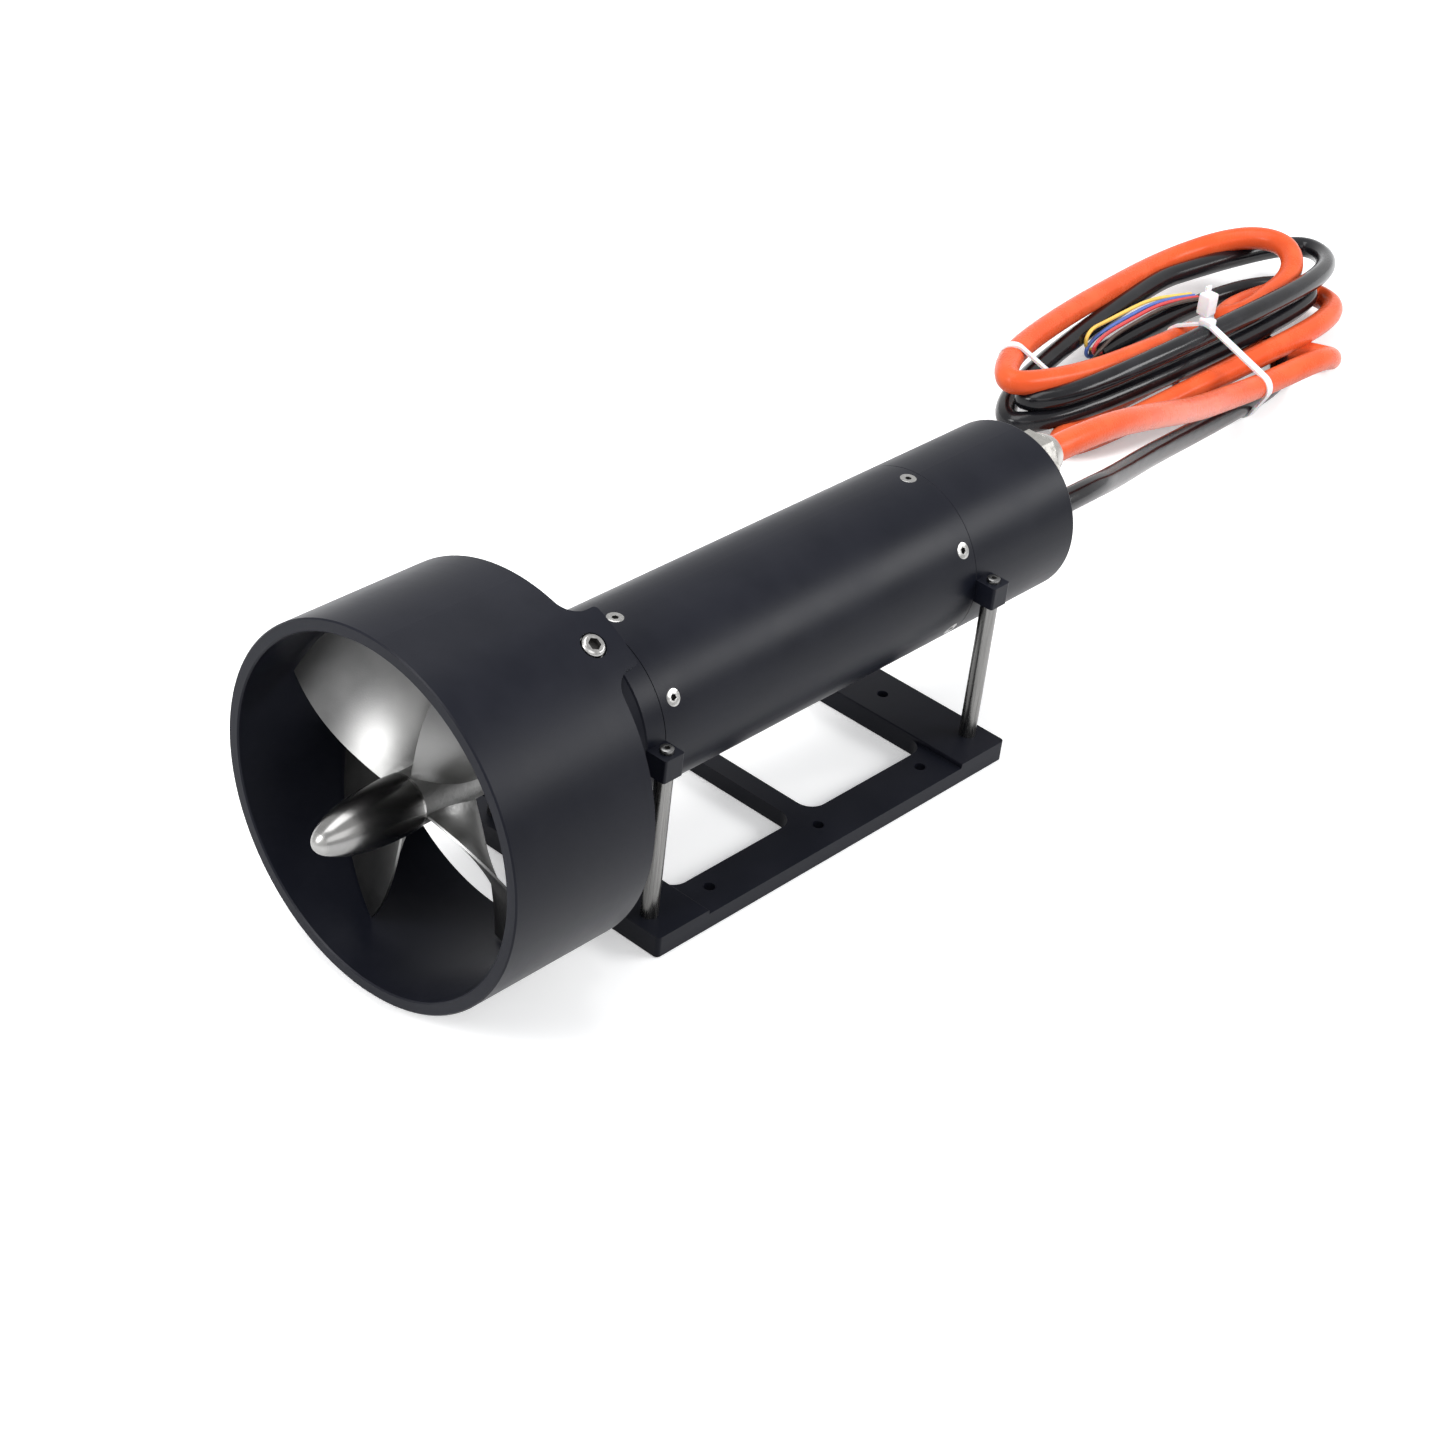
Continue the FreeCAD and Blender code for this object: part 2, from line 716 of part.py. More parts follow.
def make_base_plate():
    """Plate with two windows, thick end pads, mounting holes and countersunk post holes."""
    body = new_body("base_plate", height=0)
    outline = new_sketch(body, "plate_outline", "XY_Plane")
    corners = box_corners(-plate_half_length, plate_half_length, -plate_half_width, plate_half_width)
    draw_outline(outline, corners)
    add_pad(body, "plate", outline, d["plate_thickness"])
    pads = new_sketch(body, "end_pad_outline", "XY_Plane")
    for side in (-1, 1):
        ends = (side * pad_inner_x, side * plate_half_length)
        draw_outline(pads, box_corners(*ends, -plate_half_width, plate_half_width))
    add_pad(body, "end_pads", pads, d["pad_thickness"])
    windows = new_sketch(body, "window_outline", "XY_Plane")
    window_half_width = plate_half_width - d["rail_width"]
    bar_half = d["bar_width"] / 2
    for side in (-1, 1):
        ends = (side * bar_half, side * pad_inner_x)
        draw_outline(windows, box_corners(*ends, -window_half_width, window_half_width))
    add_pocket(body, "windows", windows, forwards=True)
    holes = new_sketch(body, "mount_hole_outline", "XY_Plane")
    for across, up in mount_holes():
        draw_circle(holes, across, up, d["mount_hole_radius"])
    add_pocket(body, "mount_hole_cut", holes, forwards=True)
    clearance = d["fit_clearance"]
    post_holes = new_sketch(body, "post_hole_outline", "XY_Plane")
    draw_at_posts(post_holes, d["post_screw_radius"] + clearance)
    add_pocket(body, "post_holes", post_holes, forwards=True)
    sinks = new_sketch(body, "countersink_outline", "XY_Plane")
    draw_at_posts(sinks, d["post_screw_head_radius"] + clearance)
    sink = add_pocket(body, "countersinks", sinks, d["post_screw_head_height"] + clearance, forwards=True)
    body.Tip = sink

    def is_upright(edge):
        tall = edge.BoundBox.ZLength > d["plate_thickness"].value / 2
        return edge.Curve.TypeId == "Part::GeomLine" and tall

    def is_window_corner(edge):
        return is_upright(edge) and near(abs(middle(edge).y), window_half_width.value)

    def is_plate_corner(edge):
        return is_upright(edge) and near(abs(middle(edge).y), plate_half_width.value)

    def is_pad_step(edge):
        point = middle(edge)
        return near(abs(point.x), pad_inner_x.value) and near(point.z, d["pad_thickness"].value)

    add_round(body, "window_corners", d["window_corner_radius"], is_window_corner)
    add_round(body, "plate_corners", d["plate_corner_radius"], is_plate_corner)
    add_round(body, "pad_steps", d["plate_edge_break"], is_pad_step)


def mount_holes():
    """Give the places of the plate's mounting holes."""
    far = d["corner_hole_distance"]
    end = plate_half_length - d["pad_length"] / 2
    places = [(side * far, edge * hole_row_y) for side in (-1, 1) for edge in (-1, 1)]
    places += [(0, edge * hole_row_y) for edge in (-1, 1)]
    places += [(side * end, 0) for side in (-1, 1)]
    return places


def draw_at_posts(sketch, radius):
    """Draw a circle at each of the four posts."""
    for side in (-1, 1):
        for edge in (-1, 1):
            draw_circle(sketch, side * post_x, edge * post_y, radius)


def make_posts():
    """Four round posts between the plate and the lugs, threaded at both ends."""
    top = axis_height - lug_half
    for end, side in (("front", -1), ("rear", 1)):
        for hand, edge in (("right", -1), ("left", 1)):
            name = f"{end}_{hand}_post"
            body = new_body(name, height=d["pad_thickness"])
            outline = new_sketch(body, name + "_outline", "XY_Plane")
            draw_circle(outline, side * post_x, edge * post_y, d["post_radius"])
            length = top - d["pad_thickness"]
            add_pad(body, name + "_rod", outline, length)
            thread = d["post_screw_radius"] + d["fit_clearance"]
            low = new_sketch(body, name + "_low_thread_outline", "XY_Plane")
            draw_circle(low, side * post_x, edge * post_y, thread)
            add_pocket(body, name + "_low_thread", low, d["post_thread_depth"], forwards=True)
            high = new_sketch(body, name + "_high_thread_outline", "XY_Plane", length)
            draw_circle(high, side * post_x, edge * post_y, thread)
            body.Tip = add_pocket(body, name + "_high_thread", high, d["post_thread_depth"])


def make_post_screws():
    """Screws on top of the lugs and under the plate."""
    top = new_body("post_top_screws", several=True)
    shank_end = lug_half - d["lug_thickness"] - d["post_screw_grip"]
    shank = new_sketch(top, "top_shank_outline", "XY_Plane", shank_end)
    draw_at_posts(shank, d["post_screw_radius"])
    shank_length = d["lug_thickness"] + d["post_screw_grip"]
    add_pad(top, "top_shanks", shank, shank_length + d["post_screw_head_height"] / 2)
    head = new_sketch(top, "top_head_outline", "XY_Plane", lug_half)
    draw_at_posts(head, d["post_screw_head_radius"])
    top.Tip = add_pad(top, "top_heads", head, d["post_screw_head_height"])
    low = new_body("post_bottom_screws", several=True, height=0)
    low_shank = new_sketch(low, "bottom_shank_outline", "XY_Plane", d["post_screw_head_height"] / 2)
    draw_at_posts(low_shank, d["post_screw_radius"])
    low_length = d["pad_thickness"] + d["post_screw_grip"] - d["post_screw_head_height"] / 2
    add_pad(low, "bottom_shanks", low_shank, low_length)
    low_head = new_sketch(low, "bottom_head_outline", "XY_Plane", d["fit_clearance"])
    draw_at_posts(low_head, d["post_screw_head_radius"])
    low.Tip = add_pad(low, "bottom_heads", low_head, d["post_screw_head_height"] - d["fit_clearance"])


# Bearings, shaft seal and shaft


def make_bearing(name, front, width, bore, outer):
    """Deep groove bearing drawn as inner race, ball cage and outer race."""
    race = d["race_thickness"]
    clearance = d["fit_clearance"]
    inset = (width - d["cage_width"]) / 2
    add_ring(name + "_inner_race", front, front + width, bore + clearance, bore + race)
    add_ring(name + "_outer_race", front, front + width, outer - race, outer)
    cage_bore = bore + race + 6 * clearance
    add_ring(name + "_cage", front + inset, front + width - inset, cage_bore, outer - race - clearance)


def make_shaft():
    """Stepped shaft from the nose thread to the rear bearing, drilled for the drive pin."""
    body = new_body("shaft")
    thread_front = hub_front - d["shaft_nose_grip"]
    tail = rear_bearing_rear + d["shaft_tail_overhang"]
    corners = [
        (thread_front, 0),
        (thread_front, d["shaft_thread_radius"]),
        (hub_front, d["shaft_thread_radius"]),
        (hub_front, d["shaft_radius"]),
        (front_bearing_rear, d["shaft_radius"]),
        (front_bearing_rear, d["shaft_shoulder_radius"]),
        (stator_front, d["shaft_shoulder_radius"]),
        (stator_front, d["shaft_rotor_radius"]),
        (rear_bearing_front, d["shaft_rotor_radius"]),
        (rear_bearing_front, d["shaft_tail_radius"]),
        (tail, d["shaft_tail_radius"]),
        (tail, 0),
    ]
    add_revolve(body, "shaft_steps", corners)
    hole = new_sketch(body, "pin_hole_outline", "XY_Plane")
    draw_circle(hole, drive_pin_x, 0, d["drive_pin_radius"] + d["fit_clearance"])
    body.Tip = add_pocket(body, "pin_hole", hole, 3 * d["shaft_radius"], both_ways=True)


def make_rear_bearing_holder():
    """Plate across the tube with a bearing seat and windows for the motor leads."""
    body = new_body("rear_bearing_holder")
    seat = d["rear_bearing_radius"] + d["fit_clearance"]
    lip_bore = d["rear_bearing_radius"] - d["spring_width"]
    lip_rear = holder_front + d["holder_lip"]
    corners = [
        (holder_front, lip_bore),
        (holder_front, spigot_radius),
        (holder_rear, spigot_radius),
        (holder_rear, seat),
        (lip_rear, seat),
        (lip_rear, lip_bore),
    ]
    add_revolve(body, "holder_plate", corners)
    window = new_sketch(body, "lead_window_outline", "YZ_Plane", holder_rear)
    draw_circle(window, 0, d["holder_window_circle"], d["holder_window_radius"])
    cut = add_pocket(body, "lead_window", window)
    add_polar(body, "lead_windows", [cut], d["tab_count"])


# Motor


def make_stator():
    """Laminated ring with open slots, and the windings that fill them."""
    core = new_body("stator_core")
    bore = d["stator_bore_radius"]
    add_revolve(core, "stator_ring", box_corners(stator_front, stator_rear, bore, spigot_radius))
    slot_foot = bore + d["tooth_tip_height"]
    opening = d["slot_opening"] / 2
    half = d["slot_width"] / 2
    below = bore - d["slot_opening"]
    corners = [(-opening, below), (opening, below), (opening, slot_foot), (half, slot_foot)]
    corners += [(half, d["slot_outer_radius"]), (-half, d["slot_outer_radius"])]
    corners += [(-half, slot_foot), (-opening, slot_foot)]
    slot_sketch = new_sketch(core, "slot_outline", "YZ_Plane", stator_rear)
    draw_outline(slot_sketch, corners)
    slot = add_pocket(core, "slot", slot_sketch)
    add_polar(core, "slots", [slot], d["slot_count"])
    windings = new_body("stator_windings")
    inner = slot_foot + d["fit_clearance"]
    outer = d["slot_outer_radius"] - d["fit_clearance"]
    overhang = d["winding_overhang"]
    add_revolve(windings, "front_end_turns", box_corners(stator_front - overhang, stator_front, inner, outer))
    bar_half = half - d["fit_clearance"]
    bar_sketch = new_sketch(windings, "slot_bar_outline", "YZ_Plane", stator_front)
    bar_inner = inner + d["fit_clearance"]
    bar_outer = outer - d["tooth_tip_height"] / 4
    draw_outline(bar_sketch, box_corners(-bar_half, bar_half, bar_inner, bar_outer))
    bar = add_pad(windings, "slot_bar", bar_sketch, d["stator_length"])
    add_polar(windings, "slot_bars", [bar], d["slot_count"])
    rear_turns = box_corners(stator_rear, stator_rear + overhang, inner, outer)
    windings.Tip = add_revolve(windings, "rear_end_turns", rear_turns)


def make_rotor():
    """Steel rotor core on the shaft, with magnets around it."""
    bore = d["shaft_rotor_radius"] + d["fit_clearance"]
    add_ring("rotor_core", stator_front, stator_rear, bore, d["rotor_core_radius"])
    magnets = new_body("rotor_magnets", several=True)
    inner = d["rotor_core_radius"] + d["fit_clearance"]
    corners = box_corners(stator_front, stator_rear, inner, inner + d["magnet_thickness"])
    magnet = add_revolve(magnets, "magnet", corners, angle=d["magnet_angle"])
    add_polar(magnets, "magnet_ring", [magnet], d["magnet_count"])


# Propeller and nose cone
# How the sweep, rake and thickness of a blade change from the hub to the tip, and how deep its root sits

SWEEP_POWER = 1.9
RAKE_POWER = 3
TAPER_POWER = 0.8
FLARE_REACH = 5.0
BLADE_ROOT_DEPTH = 1.6
BLADE_LEVELS = 7
BLADE_STATIONS = 7


def helix_point(radius, share, side):
    """Point on a blade: radius, share of the chord from the leading edge, and side of the blade."""
    reach = (radius - d["hub_radius"].value) / (tip_radius.value - d["hub_radius"].value)
    reach = max(reach, 0.0)
    per_radian = d["blade_pitch"].value / (2 * math.pi)
    sweep = d["blade_sweep_angle"].value * reach**SWEEP_POWER
    turn = math.radians(d["blade_lead_angle"].value + sweep + d["blade_angle"].value * share)
    along = hub_front.value + d["blade_front_gap"].value + d["blade_rake"].value * reach**RAKE_POWER
    along += per_radian * math.radians(d["blade_angle"].value) * share
    root = d["blade_root_thickness"].value
    thick = root + (d["blade_tip_thickness"].value - root) * reach**TAPER_POWER
    flare = d["blade_root_flare"].value * math.exp(-(radius - d["hub_radius"].value) / FLARE_REACH)
    edge = d["blade_edge_thickness"].value
    camber = 4 * share * (1 - share)
    half = (edge + (thick + max(flare, 0.0) - edge) * camber) / 2
    slope = math.hypot(radius, per_radian)
    along += side * half * radius / slope
    turn -= side * half * per_radian / slope / radius
    return Vector(along, radius * math.cos(turn), radius * math.sin(turn))


def make_blade():
    """One blade: two curved faces joined by narrow strips along its edges, tip and root."""
    root = d["hub_radius"].value - BLADE_ROOT_DEPTH
    radii = [root + (tip_radius.value - root) * k / (BLADE_LEVELS - 1) for k in range(BLADE_LEVELS)]
    surfaces = []
    for side in (-1, 1):
        shares = [k / (BLADE_STATIONS - 1) for k in range(BLADE_STATIONS)]
        rows = [[helix_point(radius, share, side) for share in shares] for radius in radii]
        surface = Part.BSplineSurface()
        surface.interpolate(rows)
        surfaces.append(surface)
    front, back = surfaces
    strips = []
    for first, second in (
        (front.uIso(0.0), back.uIso(0.0)),
        (front.uIso(1.0), back.uIso(1.0)),
        (front.vIso(0.0), back.vIso(0.0)),
        (front.vIso(1.0), back.vIso(1.0)),
    ):
        strips.append(Part.makeRuledSurface(first.toShape(), second.toShape()))
    faces = [front.toShape(), back.toShape()] + strips
    shell = Part.makeShell(faces)
    shell.sewShape()
    blade = Part.makeSolid(shell)
    if blade.Volume < 0:
        blade.reverse()
    return blade


def add_feature(name, shape, height=axis_height):
    """Give a shape a document object of its own, raised to its height."""
    feature = doc.addObject("Part::Feature", name)
    feature.Label = name
    feature.Shape = shape
    feature.Placement = Placement(Vector(0, 0, size(height).value), Rotation())
    feature.setExpression("Placement.Base.z", size(height).text)
    sub_parts.append(feature)
    return feature


def make_propeller():
    """Cast hub with four helical blades, bored for the shaft and the drive pin."""
    along = Vector(1, 0, 0)
    front = Vector(hub_front.value, 0, 0)
    length = d["hub_length"].value
    shape = Part.makeCylinder(d["hub_radius"].value, length, front, along)
    blade = make_blade()
    count = int(d["blade_count"].value)
    for number in range(count):
        copy = blade.copy()
        copy.rotate(Vector(0, 0, 0), along, 360 * number / count)
        shape = shape.fuse(copy)
    bore = d["shaft_radius"].value + d["fit_clearance"].value
    shape = shape.cut(Part.makeCylinder(bore, length, front, along))
    shape = shape.cut(pin_shape(d["fit_clearance"].value))
    add_feature("propeller", shape)


def pin_shape(clearance):
    """Cylinder across the shaft, as wide as the drive pin and a clearance."""
    half = pin_half_length.value + clearance
    start = Vector(drive_pin_x.value, 0, -half)
    return Part.makeCylinder(d["drive_pin_radius"].value + clearance, 2 * half, start, Vector(0, 0, 1))


def make_drive_pin():
    """Pin that carries the shaft's torque into the hub."""
    pin_object = doc.addObject("Part::Cylinder", "drive_pin")
    pin_object.Label = "drive_pin"
    bind(pin_object, "Radius", d["drive_pin_radius"])
    bind(pin_object, "Height", 2 * pin_half_length)
    low = axis_height - pin_half_length
    pin_object.Placement = Placement(Vector(drive_pin_x.value, 0, low.value), Rotation())
    pin_object.setExpression("Placement.Base.x", drive_pin_x.text)
    pin_object.setExpression("Placement.Base.z", low.text)
    sub_parts.append(pin_object)


def lay_along_axis(item, place):
    """Lay a primitive that stands on Z along the thruster axis at a place."""
    item.Placement = Placement(Vector(place.value, 0, axis_height.value), Rotation(Vector(0, 1, 0), 90))
    item.setExpression("Placement.Base.x", place.text)
    item.setExpression("Placement.Base.z", axis_height.text)


def make_nose_cone():
    """Half of a long ellipsoid, cut square where it meets the hub and bored for the shaft's thread."""
    widest = hub_front - d["nose_widest_setback"]
    bullet = doc.addObject("Part::Ellipsoid", "nose_bullet")
    bind(bullet, "Radius1", d["nose_length"] - d["nose_widest_setback"])
    bind(bullet, "Radius2", d["nose_radius"])
    bind(bullet, "Radius3", d["nose_radius"])
    lay_along_axis(bullet, widest)
    sleeve = doc.addObject("Part::Cylinder", "nose_envelope")
    bind(sleeve, "Radius", d["nose_radius"] + 1)
    bind(sleeve, "Height", d["nose_length"] + 1)
    lay_along_axis(sleeve, hub_front - d["nose_length"] - 1)
    blunt = doc.addObject("Part::Common", "nose_blunt")
    blunt.Base = bullet
    blunt.Tool = sleeve
    thread = doc.addObject("Part::Cylinder", "nose_thread")
    bind(thread, "Radius", d["shaft_thread_radius"] + d["fit_clearance"])
    bind(thread, "Height", d["shaft_nose_grip"] + 1)
    lay_along_axis(thread, hub_front - d["shaft_nose_grip"] - 1)
    cone = doc.addObject("Part::Cut", "nose_cone")
    cone.Label = "nose_cone"
    cone.Base = blunt
    cone.Tool = thread
    sub_parts.append(cone)


# Cable glands


def make_gland(colour, side):
    """Hexagonal body, seal plug and domed nut of one cable entry."""
    height = side * d["gland_offset"]
    clearance = d["fit_clearance"]
    flange_rear = rear_cap_rear + d["gland_flange_thickness"]
    nut_front = flange_rear + d["gland_nut_gap"]
    hex_rear = nut_front + d["gland_nut_hex_length"]
    thread_front = rear_cap_rear - d["rear_wall"]
    centre = axis_height + height
    body = new_body(f"{colour}_gland_body", height=centre)
    flange = new_sketch(body, f"{colour}_flange_outline", "YZ_Plane", rear_cap_rear)
    draw_hexagon(flange, 0, 0, d["gland_across_flats"])
    add_pad(body, f"{colour}_flange", flange, d["gland_flange_thickness"])
    neck_rear = flange_rear + d["gland_neck_length"]
    bore = d["gland_body_bore_radius"]
    thread_corners = box_corners(thread_front, flange_rear, bore, d["gland_thread_radius"])
    add_revolve(body, f"{colour}_thread", thread_corners)
    add_revolve(body, f"{colour}_neck", box_corners(flange_rear - 1, neck_rear, bore, d["gland_neck_radius"]))
    hole = new_sketch(body, f"{colour}_body_bore_outline", "YZ_Plane", neck_rear)
    draw_circle(hole, 0, 0, bore)
    body.Tip = add_pocket(body, f"{colour}_body_bore", hole)
    nut = new_body(f"{colour}_gland_nut", height=centre)
    hexagon = new_sketch(nut, f"{colour}_nut_outline", "YZ_Plane", nut_front)
    draw_hexagon(hexagon, 0, 0, d["gland_across_flats"])
    add_pad(nut, f"{colour}_nut_hexagon", hexagon, d["gland_nut_hex_length"])
    mouth = d["gland_seal_radius"] + clearance
    dome_corners = [
        (hex_rear - 1, mouth),
        (hex_rear - 1, d["gland_across_flats"] / 2),
        (hex_rear, d["gland_across_flats"] / 2),
        (gland_mouth, d["gland_nut_mouth_radius"]),
        (gland_mouth, mouth),
    ]
    add_revolve(nut, f"{colour}_nut_dome", dome_corners)
    inside = new_sketch(nut, f"{colour}_nut_bore_outline", "YZ_Plane", nut_front)
    draw_circle(inside, 0, 0, d["gland_neck_radius"] + clearance)
    add_pocket(nut, f"{colour}_nut_bore", inside, d["gland_nut_hex_length"] - 2, forwards=True)
    opening = new_sketch(nut, f"{colour}_nut_mouth_outline", "YZ_Plane", gland_mouth)
    draw_circle(opening, 0, 0, mouth)
    nut.Tip = add_pocket(nut, f"{colour}_nut_mouth", opening)
    seal = new_body(f"{colour}_gland_seal", height=centre)
    seal_front = neck_rear + clearance
    plug = box_corners(seal_front, gland_mouth, 0, d["gland_seal_radius"])
    seal.Tip = add_revolve(seal, f"{colour}_seal_plug", plug)


# Cables
# Each route is chosen by hand, in the frame of the whole thruster

ORANGE_ROUTE = [(303, 12, 80), (372, 33, 51), (428, 50, 31), (486, 58, 19)]
BLACK_ROUTE = [(278, 14, 53), (338, 33, 36), (417, 53, 16), (486, 65, 6)]
RUN_SHARE_IN_BEND = 0.45
COIL_OUTER = [(346, 126), (368, 99), (400, 84), (440, 75), (474, 64), (500, 51.5), (540, 53), (580, 72)]
COIL_OUTER += [(624, 99), (655, 138), (630, 168), (585, 188), (530, 199), (460, 193), (390, 165)]
COIL_INNER = [(384, 135), (430, 126), (500, 122), (558, 124), (576, 132), (556, 140), (500, 143), (430, 143)]
NEAR_TOP_START = 480.0
WIRE_BED = ((426.0, 586.0), (143.0, 167.0))
MIDDLE_TIE = (493.0, 48.0, 128.0)
LEFT_TIE = (376.0, 88.0, 160.0)
TIE_HEAD_Y = 111.0
WIRE_START = (430.0, 152.0)
WIRE_END = (548.0, 155.0)
WIRE_SPREADS = (-7.0, -2.5, 2.5, 7.0)
WIRE_BEND_PLACE = 50.0
WIRE_START_SHARE = 0.5


def round_route(name, points):
    """Join the points of a route by straight runs and tangent arcs as large as the runs allow."""
    points = [Vector(*point) for point in points]
    edges = []
    start = points[0]
    radii = []
    for before, corner, after in zip(points, points[1:], points[2:]):
        back = (before - corner).normalize()
        ahead = (after - corner).normalize()
        shorter = min((before - corner).Length, (after - corner).Length)
        half_turn = (math.pi - back.getAngle(ahead)) / 2
        setback = RUN_SHARE_IN_BEND * shorter
        radius = setback / math.tan(half_turn)
        radii.append(radius)
        first = corner + back * setback
        last = corner + ahead * setback
        inward = (back + ahead).normalize()
        centre_distance = radius / math.cos(half_turn)
        centre = corner + inward * centre_distance
        top = centre + (corner - centre).normalize() * radius
        edges.append(Part.LineSegment(start, first).toShape())
        edges.append(Part.Arc(first, top, last).toShape())
        start = last
    edges.append(Part.LineSegment(start, points[-1]).toShape())
    print(name, "bend radii", [round(radius, 1) for radius in radii])
    return Part.Wire(edges)


def make_tube(name, points, radius):
    """Sweep a round section along a rounded route."""
    path = round_route(name, points)
    start = Vector(*points[0])
    direction = Vector(*points[1]) - start
    section = Part.Wire(Part.makeCircle(radius, start, direction))
    tube = path.makePipeShell([section], True, False)
    expected = math.pi * radius**2 * path.Length
    print(name, "length", round(path.Length, 1), "volume share", round(tube.Volume / expected, 4))
    return tube


def cable_run(colour, side, route, clearance=0):
    """Tube along a cable from its gland's mouth to the coil."""
    mouth = gland_mouth.value
    level = (axis_height + side * d["gland_offset"]).value
    straight = [(mouth, 0, level), (mouth + d["cable_straight"].value, 0, level)]
    radius = d[f"{colour}_cable_radius"].value + clearance
    return make_tube(f"{colour}_cable", straight + route, radius)


def make_cables():
    """Both cables, from the glands to the coil."""
    add_feature("orange_cable", cable_run("orange", 1, ORANGE_ROUTE), height=0)
    add_feature("black_cable", cable_run("black", -1, BLACK_ROUTE), height=0)


def closed_curve(points):
    """Closed smooth curve through points on the ground."""
    curve = Part.BSplineCurve()
    curve.interpolate([Vector(x, y, 0) for x, y in points], PeriodicFlag=True)
    return Part.Wire(curve.toShape())


def strap(place, low_y, high_y, height):
    """Square loop of a cable tie round the coil."""
    width = d["tie_width"].value
    thick = d["tie_thickness"].value
    outer = Part.makeBox(width, high_y - low_y, height, Vector(place, low_y, 0))
    inner_size = (width, high_y - low_y - 2 * thick, height - 2 * thick)
    return outer.cut(Part.makeBox(*inner_size, Vector(place, low_y + thick, thick)))


def box_between(x_places, y_places, z_places):
    """Box given by its two places along each axis."""
    low, high = zip(x_places, y_places, z_places)
    return Part.makeBox(*(last - first for first, last in zip(low, high)), Vector(*low))


def make_coil():
    """Coil of both cables as one solid, low on its far side, and the two ties round it."""
    height = d["coil_height"].value
    near_height = d["coil_near_height"].value
    thick = d["tie_thickness"].value
    bed_x, bed_y = WIRE_BED
    ring = Part.Face(closed_curve(COIL_OUTER)).extrude(Vector(0, 0, height))
    ring = ring.cut(Part.Face(closed_curve(COIL_INNER)).extrude(Vector(0, 0, height)))
    outline = ring.BoundBox
    right_end = (NEAR_TOP_START, outline.XMax)
    ring = ring.cut(box_between(right_end, (outline.YMin, outline.YMax), (near_height, height)))
    ring = ring.cut(box_between(bed_x, bed_y, (d["wire_bed_height"].value, height)))
    ring = ring.cut(box_between(bed_x, (bed_y[1], outline.YMax), (d["coil_far_height"].value, height)))
    clearance = d["fit_clearance"].value
    ring = ring.cut(cable_run("orange", 1, ORANGE_ROUTE, clearance))
    ring = ring.cut(cable_run("black", -1, BLACK_ROUTE, clearance))
    middle_strap = strap(*MIDDLE_TIE, near_height + thick)
    left_strap = strap(*LEFT_TIE, height + thick)
    for loop in (middle_strap, left_strap):
        ring = ring.cut(loop)
    add_feature("cable_coil", keep_largest(ring), height=0)
    length = d["tie_head_length"].value
    place = Vector(MIDDLE_TIE[0] - (length - d["tie_width"].value) / 2, TIE_HEAD_Y, near_height + thick)
    head = Part.makeBox(length, length, d["tie_head_height"].value, place)
    add_feature("cable_ties", Part.makeCompound([middle_strap.fuse(head), left_strap]), height=0)


def keep_largest(shape):
    """Give the largest solid of a shape."""
    return max(shape.Solids, key=lambda solid: solid.Volume)


def make_core_wires():
    """Thin insulated cores that fan out of the black cable's cut end, in a dip of the coil's far side."""
    radius = d["core_wire_radius"].value
    level = d["wire_bed_height"].value + radius
    start_x, start_y = WIRE_START
    end_x, end_y = WIRE_END
    tubes = []
    for spread in WIRE_SPREADS:
        start = (start_x, start_y + WIRE_START_SHARE * spread, level)
        bend = (start_x + WIRE_BEND_PLACE, start_y + spread, level)
        tubes.append(make_tube("core_wire", [start, bend, (end_x, end_y + spread, level)], radius))
    add_feature("core_wires", Part.makeCompound(tubes), height=0)


def check_and_write():
    """Stop on any failed object or bad solid, then write each sub-part to its own file."""
    doc.recompute()
    for item in doc.Objects:
        if "Invalid" in item.State or "Error" in item.State:
            raise RuntimeError(f"{item.Name} failed to build")
    for item in sub_parts:
        shape = item.Shape
        if shape.isNull() or not shape.isValid() or not shape.Solids:
            raise RuntimeError(f"{item.Label} is not a valid solid")
    for item in sub_parts:
        item.Shape.exportStep(f"parts/{item.Label}.step")
        print(item.Label, len(item.Shape.Solids), round(item.Shape.Volume))


make_duct_shroud()
make_duct_screws()
make_front_cap()
make_motor_tube()
make_tube_screws("tube_screws_front", front_screw_x)
make_tube_screws("tube_screws_rear", rear_screw_x)
make_cap_seals("front_cap_seals", front_seam, 1)
make_cap_seals("rear_cap_seals", rear_seam, -1)
make_rear_cap()
make_base_plate()
make_posts()
make_post_screws()
front_bearing_size = (d["front_bearing_width"], d["shaft_radius"], d["front_bearing_radius"])
make_bearing("front_bearing", front_bearing_front, *front_bearing_size)
rear_bearing_size = (d["rear_bearing_width"], d["shaft_tail_radius"], d["rear_bearing_radius"])
make_bearing("rear_bearing", rear_bearing_front, *rear_bearing_size)
make_shaft()
seal_bore = d["shaft_radius"] + d["running_clearance"]
seal_rear = housing_front + d["shaft_seal_length"]
add_ring("shaft_seal", housing_front, seal_rear, seal_bore, d["shaft_seal_radius"])
spring_bore = d["rear_bearing_radius"] - d["spring_width"]
spring_front = rear_bearing_front - d["spring_thickness"]
add_ring("wave_spring", spring_front, rear_bearing_front, spring_bore, d["rear_bearing_radius"])
make_rear_bearing_holder()
make_stator()
make_rotor()
make_propeller()
make_drive_pin()
make_nose_cone()
make_gland("orange", 1)
make_gland("black", -1)
make_cables()
make_coil()
make_core_wires()
check_and_write()
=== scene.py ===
import math

import bmesh
import bpy
from mathutils import Matrix, Quaternion, Vector
from mathutils.geometry import convex_hull_2d


